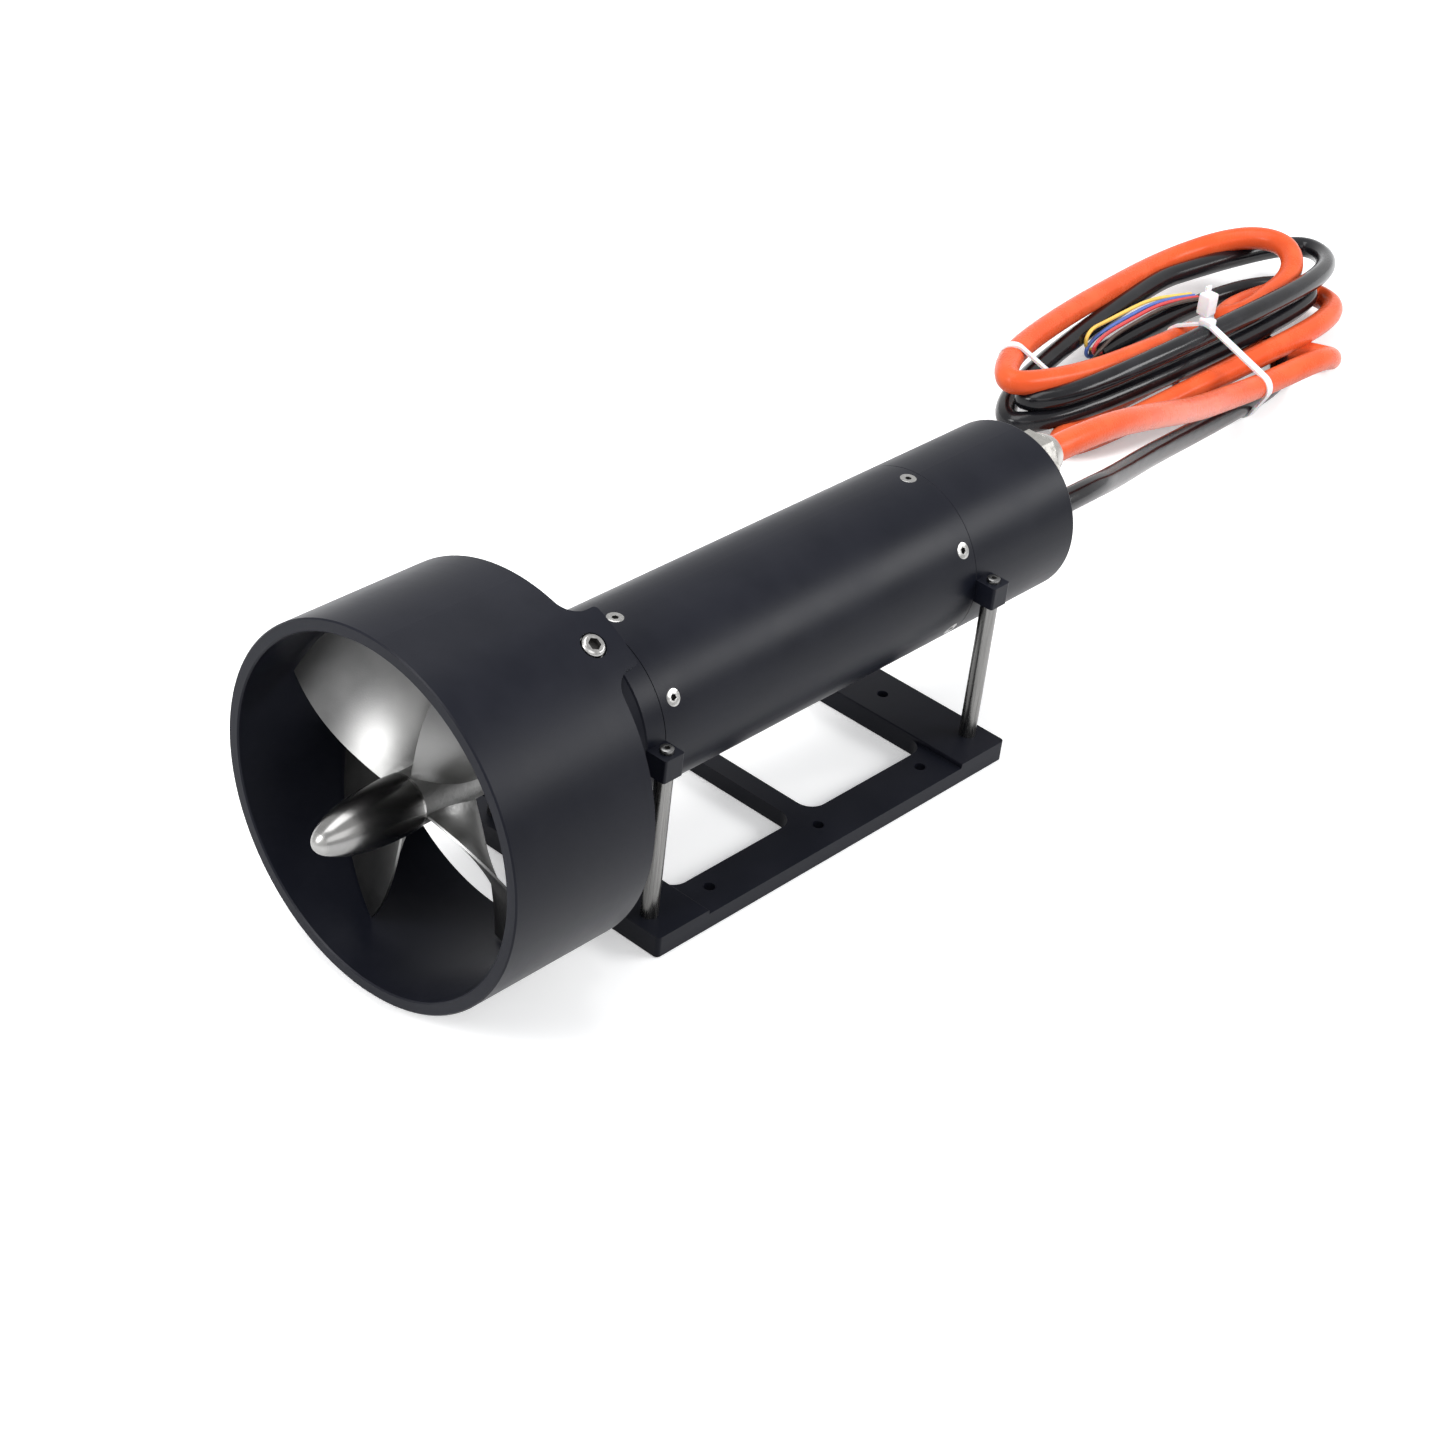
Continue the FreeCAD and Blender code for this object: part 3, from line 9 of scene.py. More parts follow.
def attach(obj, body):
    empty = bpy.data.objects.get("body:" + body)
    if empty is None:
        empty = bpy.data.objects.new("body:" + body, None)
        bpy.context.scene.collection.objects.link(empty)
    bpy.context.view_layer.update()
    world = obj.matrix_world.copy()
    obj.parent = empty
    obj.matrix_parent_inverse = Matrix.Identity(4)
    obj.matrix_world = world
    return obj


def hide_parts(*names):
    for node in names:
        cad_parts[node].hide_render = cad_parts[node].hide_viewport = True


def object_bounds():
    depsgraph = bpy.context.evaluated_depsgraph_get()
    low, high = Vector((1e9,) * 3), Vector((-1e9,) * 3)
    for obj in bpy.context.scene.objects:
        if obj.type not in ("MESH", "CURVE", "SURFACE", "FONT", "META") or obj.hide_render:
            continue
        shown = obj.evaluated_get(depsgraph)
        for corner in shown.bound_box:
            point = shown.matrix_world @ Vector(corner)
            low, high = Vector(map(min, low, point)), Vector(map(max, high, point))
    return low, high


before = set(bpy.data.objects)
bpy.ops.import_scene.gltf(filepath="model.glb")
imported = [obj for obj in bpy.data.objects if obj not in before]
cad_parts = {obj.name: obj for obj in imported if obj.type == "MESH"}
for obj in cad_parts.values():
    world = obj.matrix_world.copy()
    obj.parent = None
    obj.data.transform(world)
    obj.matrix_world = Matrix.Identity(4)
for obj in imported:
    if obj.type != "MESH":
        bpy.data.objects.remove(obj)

# Underwater thruster on a base plate, in metres. Sizes in millimetres are brought there by MM.
# X runs along the thruster axis towards the cables, Z is up.

cad_low, cad_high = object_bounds()
MM = 0.001
AXIS_HEIGHT = 84.5 * MM
AXIS_POINT = Vector((0.0, 0.0, AXIS_HEIGHT))
NOSE_FRONT = cad_low[0]
HUB_FRONT = -198.35 * MM
REAR_CAP_REAR = 167.25 * MM
TABS = 3
TUBE_SCREWS = 6


# Camera

CAMERA_PLACE = Vector((-0.86988, -0.69565, 0.78139))
CAMERA_AIM = Vector((-0.03533, -0.01503, 0.06))
CAMERA_ROLL = math.radians(6.822)
CAMERA_LENS = 78.138
CAMERA_SENSOR = 36.0
CAMERA_CLIP = (0.05, 60.0)


def add_camera():
    """Camera at the photograph's angle and distance."""
    data = bpy.data.cameras.new("photo_camera")
    data.lens = CAMERA_LENS
    data.sensor_width = CAMERA_SENSOR
    data.clip_start, data.clip_end = CAMERA_CLIP
    camera = bpy.data.objects.new("photo_camera", data)
    bpy.context.scene.collection.objects.link(camera)
    turn = (CAMERA_AIM - CAMERA_PLACE).to_track_quat("-Z", "Y") @ Quaternion((0, 0, 1), CAMERA_ROLL)
    camera.rotation_mode = "QUATERNION"
    camera.location = CAMERA_PLACE
    camera.rotation_quaternion = turn
    bpy.context.scene.camera = camera


# Shader sums and finishes


class Channel:
    """A socket in a finish, on which sums can be written."""

    def __init__(self, finish, socket):
        self.finish = finish
        self.socket = socket

    def sum(self, operation, *terms):
        inputs = dict(enumerate(terms))
        return self.finish.node("ShaderNodeMath", {"operation": operation}, inputs)

    def __add__(self, other):
        return self.sum("ADD", self, other)

    def __radd__(self, other):
        return self.sum("ADD", other, self)

    def __sub__(self, other):
        return self.sum("SUBTRACT", self, other)

    def __rsub__(self, other):
        return self.sum("SUBTRACT", other, self)

    def __mul__(self, other):
        return self.sum("MULTIPLY", self, other)

    def __rmul__(self, other):
        return self.sum("MULTIPLY", other, self)


class Finish:
    """A material whose nodes are added one by one to its own shader."""

    def __init__(self, name, colour, roughness, metallic=0.0, **constants):
        self.material = bpy.data.materials.new(name)
        self.material.use_nodes = True
        self.tree = self.material.node_tree
        self.shader = self.tree.nodes["Principled BSDF"]
        self.set("Base Color", colour)
        self.set("Roughness", roughness)
        self.set("Metallic", metallic)
        for socket, value in constants.items():
            self.set(socket.replace("_", " "), value)

    def set(self, socket, value):
        """Give one of the shader's sockets a value or a link."""
        self.fill(self.shader.inputs[socket], value)

    def fill(self, socket, value):
        if isinstance(value, Channel):
            self.tree.links.new(value.socket, socket)
        elif socket.type == "RGBA":
            socket.default_value = (*value, 1.0)
        else:
            socket.default_value = value

    def node(self, kind, settings=None, inputs=None, out=0):
        """Add a node, with its settings first and then the values or links of its sockets."""
        node = self.tree.nodes.new(kind)
        for name, value in (settings or {}).items():
            setattr(node, name, value)
        for name, value in (inputs or {}).items():
            self.fill(node.inputs[name], value)
        return Channel(self, node.outputs[out])

    def place(self, out="Object"):
        """Coordinates in the frame, or another output of the same node."""
        return self.node("ShaderNodeTexCoord", out=out)

    def axes(self, coordinates):
        """The three parts of a vector."""
        parts = self.node("ShaderNodeSeparateXYZ", inputs={0: coordinates})
        outputs = parts.socket.node.outputs
        return [Channel(self, outputs[k]) for k in range(3)]

    def vector(self, *parts):
        """One vector from up to three values."""
        return self.node("ShaderNodeCombineXYZ", inputs=dict(enumerate(parts)))

    def stretched(self, scale):
        """Coordinates multiplied along each axis."""
        inputs = {"Vector": self.place(), "Scale": scale}
        return self.node("ShaderNodeMapping", {"vector_type": "POINT"}, inputs)

    def noise(self, coordinates, scale, detail=3.0, roughness=0.5):
        inputs = {"Vector": coordinates, "Scale": scale, "Detail": detail, "Roughness": roughness}
        return self.node("ShaderNodeTexNoise", None, inputs)

    def span(self, value, low, high, first=0.0, last=1.0):
        """Values from low to high, spread from first to last and held there."""
        inputs = {"Value": value, "From Min": low, "From Max": high, "To Min": first, "To Max": last}
        return self.node("ShaderNodeMapRange", {"interpolation_type": "SMOOTHSTEP"}, inputs)

    def blend(self, share, first, second):
        """Mix of two colours."""
        inputs = {0: share, 6: first, 7: second}
        return self.node("ShaderNodeMix", {"data_type": "RGBA"}, inputs, out=2)

    def relief(self, height, depth, strength=1.0):
        """Raise the surface by a height field of the given depth in metres."""
        inputs = {"Height": height, "Distance": depth, "Strength": strength}
        self.set("Normal", self.node("ShaderNodeBump", None, inputs))

    def around(self):
        """Place along the thruster axis, distance from it, and turn about it."""
        along, across, up = self.axes(self.place())
        up = up - AXIS_HEIGHT
        radius = self.node("ShaderNodeMath", {"operation": "SQRT"}, {0: across * across + up * up})
        turn = self.node("ShaderNodeMath", {"operation": "ARCTAN2"}, {0: up, 1: across})
        return along, radius, turn

    def sine(self, value):
        return self.node("ShaderNodeMath", {"operation": "SINE"}, {0: value})


BLACK_DYE = (0.0052, 0.006, 0.0105)
WORN_DYE = (0.013, 0.0138, 0.02)


def anodised(name, turned):
    """Black anodised aluminium: turning marks on round pieces, blasted grain on milled ones."""
    finish = Finish(name, BLACK_DYE, 0.4, Specular_IOR_Level=0.11)
    cloud = finish.noise(finish.place(), 28.0, 4.0)
    grain = finish.noise(finish.place(), 2600.0, 2.0)
    shade = finish.span(cloud, 0.3, 0.75)
    finish.set("Base Color", finish.blend(shade * 0.5, BLACK_DYE, WORN_DYE))
    if turned:
        along, radius, turn = finish.around()
        lathe = finish.noise(finish.vector(along * 5200.0, radius * 2600.0, turn * 0.6), 1.0, 3.0, 0.6)
        finish.relief(lathe * 0.6 + grain * 0.4, 0.000012, 0.7)
        finish.set("Roughness", 0.3 + 0.09 * lathe + 0.07 * shade)
    else:
        mill = finish.noise(finish.stretched((260.0, 2400.0, 2400.0)), 1.0, 2.0)
        finish.relief(grain * 0.7 + mill * 0.3, 0.000012, 0.7)
        finish.set("Roughness", 0.36 + 0.1 * grain + 0.07 * shade)
    return finish.material


def drawn_steel():
    """Satin steel rod, drawn along its length."""
    finish = Finish("drawn_steel", (0.3, 0.298, 0.29), 0.3, 1.0)
    streak = finish.noise(finish.stretched((3200.0, 3200.0, 45.0)), 1.0, 3.0)
    finish.set("Base Color", finish.blend(streak, (0.08, 0.079, 0.077), (0.27, 0.267, 0.26)))
    finish.set("Roughness", 0.16 + 0.2 * streak)
    finish.relief(streak, 0.00001, 0.6)
    return finish.material


def screw_steel():
    """Bright stainless steel with small dull patches."""
    finish = Finish("screw_steel", (0.36, 0.355, 0.35), 0.22, 1.0)
    patch = finish.noise(finish.place(), 900.0, 3.0)
    finish.set("Base Color", finish.blend(patch, (0.2, 0.198, 0.195), (0.5, 0.495, 0.485)))
    finish.set("Roughness", 0.14 + 0.2 * patch)
    finish.relief(patch, 0.00001, 0.4)
    return finish.material


def socket_shadow():
    """Painted shade inside a screw's socket: a dark material in place of the shade that falls there."""
    finish = Finish("socket_shadow", (0.035, 0.035, 0.035), 0.5, 0.6)
    cloud = finish.noise(finish.place(), 1800.0, 2.0)
    finish.set("Base Color", finish.blend(cloud, (0.02, 0.02, 0.02), (0.07, 0.068, 0.065)))
    finish.set("Roughness", 0.4 + 0.25 * cloud)
    return finish.material


def polished_steel():
    """Polished nose cone with faint rings, a duller tip painted paler as a reflection, and a painted
    highlight along the seam at the hub.
    """
    finish = Finish("polished_steel", (0.16, 0.158, 0.155), 0.15, 1.0)
    along, _, turn = finish.around()
    rings = finish.noise(finish.vector(along * 3000.0, turn * 0.4), 1.0, 2.0)
    # The tip mask makes the first few millimetres rougher, and its paler base colour is a painted
    # reflection.
    tip = finish.span(along, NOSE_FRONT + 1.5 * MM, NOSE_FRONT + 4.0 * MM, 1.0, 0.0)
    # Painted highlight: a bright band of base colour where the seam's edge would catch the light.
    painted_seam_highlight = finish.span(along, HUB_FRONT - 1.3 * MM, HUB_FRONT - 0.7 * MM)
    body = finish.blend(rings, (0.2, 0.198, 0.195), (0.27, 0.268, 0.264))
    body = finish.blend(painted_seam_highlight, body, (0.45, 0.445, 0.437))
    finish.set("Base Color", finish.blend(tip, body, (0.3, 0.297, 0.291)))
    finish.set("Roughness", 0.2 + 0.05 * rings + 0.12 * tip)
    finish.relief(rings, 0.0000015, 0.3)
    return finish.material


def cast_blade():
    """Satin cast blades with painted reflection, paler towards their roots and darker towards their
    tips, with a rough as-cast hub between them.
    """
    finish = Finish("cast_blade", (0.34, 0.34, 0.335), 0.34, 1.0)
    _, radius, _ = finish.around()
    hub = finish.span(radius, 11.6 * MM, 15.5 * MM, 1.0, 0.0)
    grains = finish.noise(finish.place(), 1500.0, 3.0)
    sand = finish.noise(finish.place(), 420.0, 3.0)
    shade = finish.noise(finish.place(), 60.0, 3.0)
    # Painted reflection: lighter base colour near the roots, darker towards the tips, where the blades
    # would reflect the dark duct.
    painted_root_light = finish.span(radius, 24.0 * MM, 50.0 * MM, 1.0, 0.0)
    # pale mixes random tone with the painted reflection of the roots.
    pale = 0.3 * shade + 0.7 * painted_root_light
    finish.set("Base Color", finish.blend(pale, (0.07, 0.07, 0.071), (0.28, 0.28, 0.276)))
    finish.set("Roughness", 0.36 + 0.1 * shade + 0.1 * hub)
    finish.relief(grains * 0.12 + sand * hub, 0.00028, 0.8)
    return finish.material


def nickel():
    """Nickel plated brass with a warm tint and soft wear."""
    finish = Finish("nickel", (0.42, 0.41, 0.385), 0.24, 1.0)
    cloud = finish.noise(finish.place(), 300.0, 4.0)
    finish.set("Base Color", finish.blend(cloud, (0.3, 0.292, 0.275), (0.52, 0.508, 0.48)))
    finish.set("Roughness", 0.16 + 0.22 * cloud)
    finish.relief(cloud, 0.00002, 0.4)
    return finish.material


CREASES = 7


def jacket(name, colour, pale, roughness, specular):
    """Glossy cable jacket with faint lengthwise creases and a dusty bloom."""
    finish = Finish(name, colour, roughness, Specular_IOR_Level=specular)
    _, around, _ = finish.axes(finish.place("UV"))
    cloud = finish.noise(finish.place(), 55.0, 4.0)
    crease = finish.sine(around * (2 * math.pi * CREASES) + cloud * 5.0)
    fine = finish.noise(finish.place(), 900.0, 2.0)
    finish.set("Base Color", finish.blend(finish.span(cloud, 0.35, 0.75), colour, pale))
    finish.set("Roughness", roughness + 0.1 * cloud + 0.05 * fine)
    finish.relief(crease * 0.5 + fine * 0.01, 0.00016, 0.6)
    return finish.material


def nylon():
    """Milky nylon of the cable ties."""
    finish = Finish("nylon", (0.86, 0.85, 0.87), 0.32, Specular_IOR_Level=0.5, Subsurface_Weight=0.35,
                    Subsurface_Scale=2 * MM)
    cloud = finish.noise(finish.place(), 260.0, 3.0)
    finish.set("Base Color", finish.blend(cloud, (0.78, 0.76, 0.79), (0.9, 0.89, 0.9)))
    finish.set("Roughness", 0.26 + 0.14 * cloud)
    finish.relief(cloud, 0.00003, 0.5)
    return finish.material


def rubber():
    """Matt seal rubber with a fine bloom."""
    finish = Finish("seal_rubber", (0.018, 0.018, 0.019), 0.6)
    bloom = finish.noise(finish.place(), 700.0, 4.0)
    finish.set("Base Color", finish.blend(bloom, (0.012, 0.012, 0.013), (0.035, 0.035, 0.036)))
    finish.set("Roughness", 0.5 + 0.25 * bloom)
    finish.relief(bloom, 0.00003, 0.5)
    return finish.material


SHEET_THICKNESS = 0.5 * MM
WIRES_ROUND = 240.0
WIRE_PITCH = 1.0 * MM


def laminated():
    """Stack of thin steel sheets, seen as lines round the axis."""
    finish = Finish("lamination", (0.2, 0.2, 0.21), 0.45, 0.8)
    along, _, _ = finish.around()
    sheets = finish.sine(along * (2 * math.pi / SHEET_THICKNESS))
    cloud = finish.noise(finish.place(), 200.0, 3.0)
    finish.set("Base Color", finish.blend(cloud, (0.13, 0.13, 0.14), (0.27, 0.26, 0.26)))
    finish.set("Roughness", 0.4 + 0.15 * cloud)
    finish.relief(sheets, 0.00004, 0.8)
    return finish.material


def copper():
    """Enamelled copper wire, wound along the slots."""
    finish = Finish("copper", (0.6, 0.27, 0.12), 0.3, 0.9)
    _, radius, turn = finish.around()
    wires = finish.sine(turn * WIRES_ROUND + radius * (2 * math.pi / WIRE_PITCH))
    cloud = finish.noise(finish.place(), 300.0, 3.0)
    finish.set("Base Color", finish.blend(cloud, (0.42, 0.16, 0.06), (0.72, 0.36, 0.17)))
    finish.set("Roughness", 0.25 + 0.15 * cloud)
    finish.relief(wires, 0.0002, 0.8)
    return finish.material


def ground(name, dark, light, roughness, metallic=1.0):
    """Ground, plated or moulded surface with faint marks round the axis."""
    finish = Finish(name, light, roughness, metallic)
    along, _, turn = finish.around()
    marks = finish.noise(finish.vector(along * 2500.0, turn * 2.0), 1.0, 3.0)
    finish.set("Base Color", finish.blend(marks, dark, light))
    finish.set("Roughness", roughness + 0.12 * marks)
    finish.relief(marks, 0.00001, 0.6)
    return finish.material


def insulation(name, colour, pale):
    """Thin glossy insulation of a core wire."""
    finish = Finish(name, colour, 0.3)
    cloud = finish.noise(finish.place(), 500.0, 3.0)
    finish.set("Base Color", finish.blend(cloud, colour, pale))
    finish.set("Roughness", 0.22 + 0.2 * cloud)
    finish.relief(cloud, 0.00003, 0.5)
    return finish.material


# Mesh helpers


def finished(shape, name, finish, node, smooth_angle=35.0):
    """Turn a bmesh into a piece of the housing that stands for a node of the frame."""
    mesh = bpy.data.meshes.new(name)
    bmesh.ops.recalc_face_normals(shape, faces=shape.faces)
    shape.to_mesh(mesh)
    shape.free()
    mesh.materials.append(finish)
    mesh.shade_smooth()
    mesh.set_sharp_from_angle(angle=math.radians(smooth_angle))
    piece = bpy.data.objects.new(name, mesh)
    bpy.context.scene.collection.objects.link(piece)
    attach(piece, "housing")
    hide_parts(node)
    return piece


def ring_at(shape, radius, height, segments):
    """Circle of edges square to Z."""
    made = bmesh.ops.create_circle(shape, cap_ends=False, radius=radius, segments=segments)
    bmesh.ops.translate(shape, verts=made["verts"], vec=(0, 0, height))
    return made["verts"]


def edges_within(vertices):
    """Edges whose two ends are both among the vertices."""
    chosen = set(vertices)
    return list({edge for vertex in vertices for edge in vertex.link_edges if set(edge.verts) <= chosen})


def skin(shape, rings):
    """Join each ring of vertices to the next one, and return the last faces made."""
    faces = []
    for first, second in zip(rings, rings[1:]):
        faces = bmesh.ops.bridge_loops(shape, edges=edges_within(first) + edges_within(second))["faces"]
    return faces


def turned_profile(shape, profile, segments):
    """Skin rings of a profile of radii and heights, and return the vertices of each ring."""
    rings = [ring_at(shape, radius, height, segments) for radius, height in profile]
    skin(shape, rings)
    return rings


# A screw's socket narrows to a share of its radius, down a chamfer that takes a share of its depth
SOCKET_TAPER = 0.93
SOCKET_CHAMFER = 0.06
SOCKET_SIDES = 6
# Material slot of the painted shade inside the socket.
SOCKET_SHADE_SLOT = 1


def socket_screw(shape, profile, socket_radius, socket_depth, segments=40):
    """Screw with a dark hexagonal socket in its top, its tip at the last ring of the profile."""
    before = set(shape.verts)
    rings = turned_profile(shape, profile, segments)
    top = profile[0][1]
    narrow = socket_radius * SOCKET_TAPER
    mouth = ring_at(shape, socket_radius, top, SOCKET_SIDES)
    rim = ring_at(shape, narrow, top - SOCKET_CHAMFER * socket_depth, SOCKET_SIDES)
    floor = ring_at(shape, narrow, top - socket_depth, SOCKET_SIDES)
    walls = skin(shape, [rings[0], mouth, rim, floor])
    bottom = bmesh.ops.contextual_create(shape, geom=edges_within(floor))["faces"]
    # The socket's walls and floor take the painted shade.
    for face in walls + bottom:
        face.material_index = SOCKET_SHADE_SLOT
    bmesh.ops.contextual_create(shape, geom=edges_within(rings[-1]))
    return [vertex for vertex in shape.verts if vertex not in before]


def stand_radially(shape, vertices, place, turn):
    """Move a shape along the thruster axis and turn its Z outwards from it."""
    matrix = Matrix.Translation(AXIS_POINT + Vector((place, 0, 0))) @ Matrix.Rotation(turn, 4, "X")
    matrix = matrix @ Matrix.Rotation(-math.pi / 2, 4, "X")
    bmesh.ops.transform(shape, matrix=matrix, verts=vertices)


# Cords
# Both cables leave their glands straight, sink to the ground and are wound into one coil

ORANGE_RADIUS = 6.5
BLACK_RADIUS = 5.8
WIRE_RADIUS = 1.1
CORD_ROUNDNESS = 6
CORD_STEPS = 6
ORANGE_GLAND = (196.05, 0, 101.3)
BLACK_GLAND = (196.05, 0, 67.7)
ORANGE_ROUTE = [ORANGE_GLAND, (236.05, 0, 101.3), (303, 12, 80), (372, 33, 51), (428, 50, 31)]
BLACK_ROUTE = [BLACK_GLAND, (236.05, 0, 67.7), (278, 14, 53), (338, 33, 36), (417, 53, 16)]

# Each turn of the coil passes its near side, right end, far side and left end.
# A row gives such a place and how pointed the quarter turn after it is.
ORANGE_TURNS = [
    ((486, 58, 19), 0.5), ((563, 67, 6.5), 1.2), ((470, 112, 6.5), 0.9), ((356, 98, 6.5), 0.8),
    ((520, 80, 18.5), 0.8), ((617, 108, 11), 0.9), ((568, 124, 18), 1.0),
]
# Under the near turns the orange cable doubles back and rises into its top turn
ORANGE_RETURN = [(552, 125, 18), (538, 123, 18), (531, 118, 20), (538, 112, 23), (550, 111, 25)]
ORANGE_TOP_TURN = [
    ((560, 113, 26), 0.9), ((615, 143, 33.5), 0.9), ((552, 183, 20), 1.9), ((344, 131, 34), 0.8),
    ((486, 111, 27), 1.0),
]
BLACK_TURNS = [
    ((486, 65, 6), 0.9), ((550, 108, 6), 0.9), ((498, 136, 6), 1.0), ((352, 123, 23.5), 0.8),
    ((500, 94, 37), 0.9), ((654, 144, 19), 1.9), ((545, 172, 18), 1.8), ((342, 126, 12.5), 0.8),
    ((500, 96, 21), 0.9), ((604, 112, 18), 0.9), ((545, 151, 8), 1.0), ((456, 149, 6), 1.0),
]
STEPS_A_QUARTER = 4


def quarter_turn(start, finish, pointed, from_end):
    """Points from one place of a turn to the next, as a quarter of an oval that eases up or down."""
    end, side = (start, finish) if from_end else (finish, start)
    points = []
    for step in range(STEPS_A_QUARTER):
        angle = math.pi / 2 * step / STEPS_A_QUARTER
        towards_end, towards_side = math.cos(angle), math.sin(angle)
        share = towards_side**2
        if not from_end:
            towards_end, towards_side = towards_side, towards_end
        x = side[0] + (end[0] - side[0]) * towards_end**pointed
        y = end[1] + (side[1] - end[1]) * towards_side
        points.append((x, y, start[2] + (finish[2] - start[2]) * share))
    return points


def wound(route, turns):
    """A route and, after it, the points of the turns."""
    points = list(route)
    for index, ((start, pointed), (finish, _)) in enumerate(zip(turns, turns[1:])):
        points += quarter_turn(start, finish, pointed, from_end=index % 2 == 1)
    return points + [turns[-1][0]]


def curve_through(name, points, radius):
    """Smooth round cord whose control points are given in millimetres."""
    curve = bpy.data.curves.new(name, "CURVE")
    curve.dimensions = "3D"
    curve.bevel_depth = radius * MM
    curve.bevel_resolution = CORD_ROUNDNESS
    curve.use_fill_caps = True
    curve.resolution_u = CORD_STEPS
    spline = curve.splines.new("NURBS")
    spline.points.add(len(points) - 1)
    for point, place in zip(spline.points, points):
        point.co = (*(Vector(place) * MM), 1.0)
    spline.order_u = 3
    spline.use_endpoint_u = True
    return curve


def centre_line(points):
    """Points along a cord's smooth line, in metres."""
    curve = curve_through("centre_line", points, 0)
    holder = bpy.data.objects.new("centre_line", curve)
    mesh = bpy.data.meshes.new_from_object(holder)
    line = [vertex.co.copy() for vertex in mesh.vertices]
    bpy.data.meshes.remove(mesh)
    bpy.data.curves.remove(curve)
    return line


def length_of(line):
    return sum((second - first).length for first, second in zip(line, line[1:]))


def add_cord(name, points, radius, finish, nodes):
    """A limp cord along control points; its real length is measured here and not used."""
    piece = bpy.data.objects.new(name, curve_through(name, points, radius))
    bpy.context.scene.collection.objects.link(piece)
    piece.data.materials.append(finish)
    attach(piece, "housing")
    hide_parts(*nodes)
    length = length_of(centre_line(points))
    start = tuple(value * MM for value in points[0])


ORANGE_POINTS = wound(ORANGE_ROUTE, ORANGE_TURNS) + wound(ORANGE_RETURN, ORANGE_TOP_TURN)
BLACK_POINTS = wound(BLACK_ROUTE, BLACK_TURNS)
CUT_END = BLACK_TURNS[-1][0]


def add_cables():
    orange = jacket("orange_jacket", (0.74, 0.098, 0.027), (0.8, 0.13, 0.042), 0.2, 0.13)
    black = jacket("black_jacket", (0.005, 0.005, 0.0065), (0.012, 0.012, 0.015), 0.12, 0.28)
    add_cord("orange_cable_run", ORANGE_POINTS, ORANGE_RADIUS, orange,
             ("orange_cable", "cable_coil"))
    add_cord("black_cable_run", BLACK_POINTS, BLACK_RADIUS, black,
             ("black_cable", "cable_coil"))


# A core wire leaves the cut end, arches back and lies along the far turns.
# Its row gives a name, its colours, its place in the cut end, its spread and how high it arches.
CORE_WIRES = [
    ("yellow_core", (0.8, 0.5, 0.06), (0.9, 0.66, 0.16), (0.0, 1.8, 2.6), (3.4, 1.6), 6.5),
    ("blue_core", (0.05, 0.1, 0.4), (0.1, 0.2, 0.58), (0.0, 1.6, -1.4), (1.2, -0.8), 3.6),
    ("red_core", (0.55, 0.03, 0.04), (0.72, 0.08, 0.08), (0.0, -1.6, 2.2), (-1.6, -3.2), 3.2),
    ("brown_core", (0.05, 0.03, 0.025), (0.09, 0.06, 0.045), (0.0, -1.9, -1.0), (-4.2, -5.6), 1.4),
]


def wire_points(offset, spread, arch):
    """Control points of one core wire: four at the cut end, and the rest along the far turns."""
    start = Vector(CUT_END) + Vector(offset)
    near, far = spread
    return [
        start + Vector((4.0, 0, 0)),
        start + Vector((-6.0, 0.3 * near, 1.0)),
        start + Vector((-10.0, 0.5 * near, 4.0 + 0.6 * arch)),
        start + Vector((-5.0, 0.7 * near, 8.0 + 0.9 * arch)),
        Vector((468, 153.0 + near, 13.4 + arch)),
        Vector((490, 154.5 + near, 14.4 + 0.8 * arch)),
        Vector((515, 155.0 + near, 16.4 + 0.5 * arch)),
        Vector((537, 154.0 + far, 16.5)),
        Vector((549, 152.5 + far, 14.5)),
    ]


def add_core_wires():
    for name, colour, pale, offset, spread, arch in CORE_WIRES:
        points = wire_points(offset, spread, arch)
        add_cord(name, points, WIRE_RADIUS, insulation(name, colour, pale),
                 ("core_wires",))


# Cable ties

TIE_WIDTH = 4.8 * MM
TIE_THICKNESS = 1.3 * MM
STRAND_SIDES = 24
# The collar, head and tail of a tie: size, place from the strap's top, and rounding, in millimetres
TIE_BLOCKS = [
    (Vector((6.6, 8.0, 5.0)), Vector((0.5, 1.0, 1.2)), 1.2),
    (Vector((8.6, 7.6, 12.5)), Vector((2.6, 4.6, 10.4)), 1.2),
    (Vector((4.4, 1.4, 4.0)), Vector((3.6, 6.4, 18.0)), 0.2),
]
# Each tie lies in an upright plane: a point of it, its sideways direction seen from above, and its reach
MIDDLE_TIE = (Vector((474.0, 84.0, 22.0)) * MM, Vector((0.03, 1.0, 0.0)).normalized(), 48.0 * MM)
LEFT_TIE = (Vector((381.0, 138.0, 26.0)) * MM, Vector((0.62, -0.78, 0.0)), 24.0 * MM)
UP = Vector((0, 0, 1))


def strands_through(middle, normal, reach):
    """Places and radii of the strands that pass through a plane near a point."""
    found = []
    for points, radius in ((ORANGE_POINTS, ORANGE_RADIUS * MM), (BLACK_POINTS, BLACK_RADIUS * MM)):
        line = centre_line(points)
        for first, second in zip(line, line[1:]):
            before = (first - middle).dot(normal)
            after = (second - middle).dot(normal)
            if before * after < 0:
                place = first.lerp(second, before / (before - after))
                if (place - middle).length < reach:
                    found.append((place, radius))
    return found


def tie_outline(middle, sideways, reach):
    """Outline of a strap drawn tight round the strands that cross its plane."""
    normal = sideways.cross(UP).normalized()
    spots = []
    for place, radius in strands_through(middle, normal, reach):
        offset = place - middle
        for step in range(STRAND_SIDES):
            angle = 2 * math.pi * step / STRAND_SIDES
            across = offset.dot(sideways) + radius * math.cos(angle)
            height = max(offset.z + radius * math.sin(angle), TIE_THICKNESS - middle.z)
            spots.append(Vector((across, height)))
    order = convex_hull_2d(spots)
    return [middle + sideways * spots[k].x + UP * spots[k].y for k in order], normal


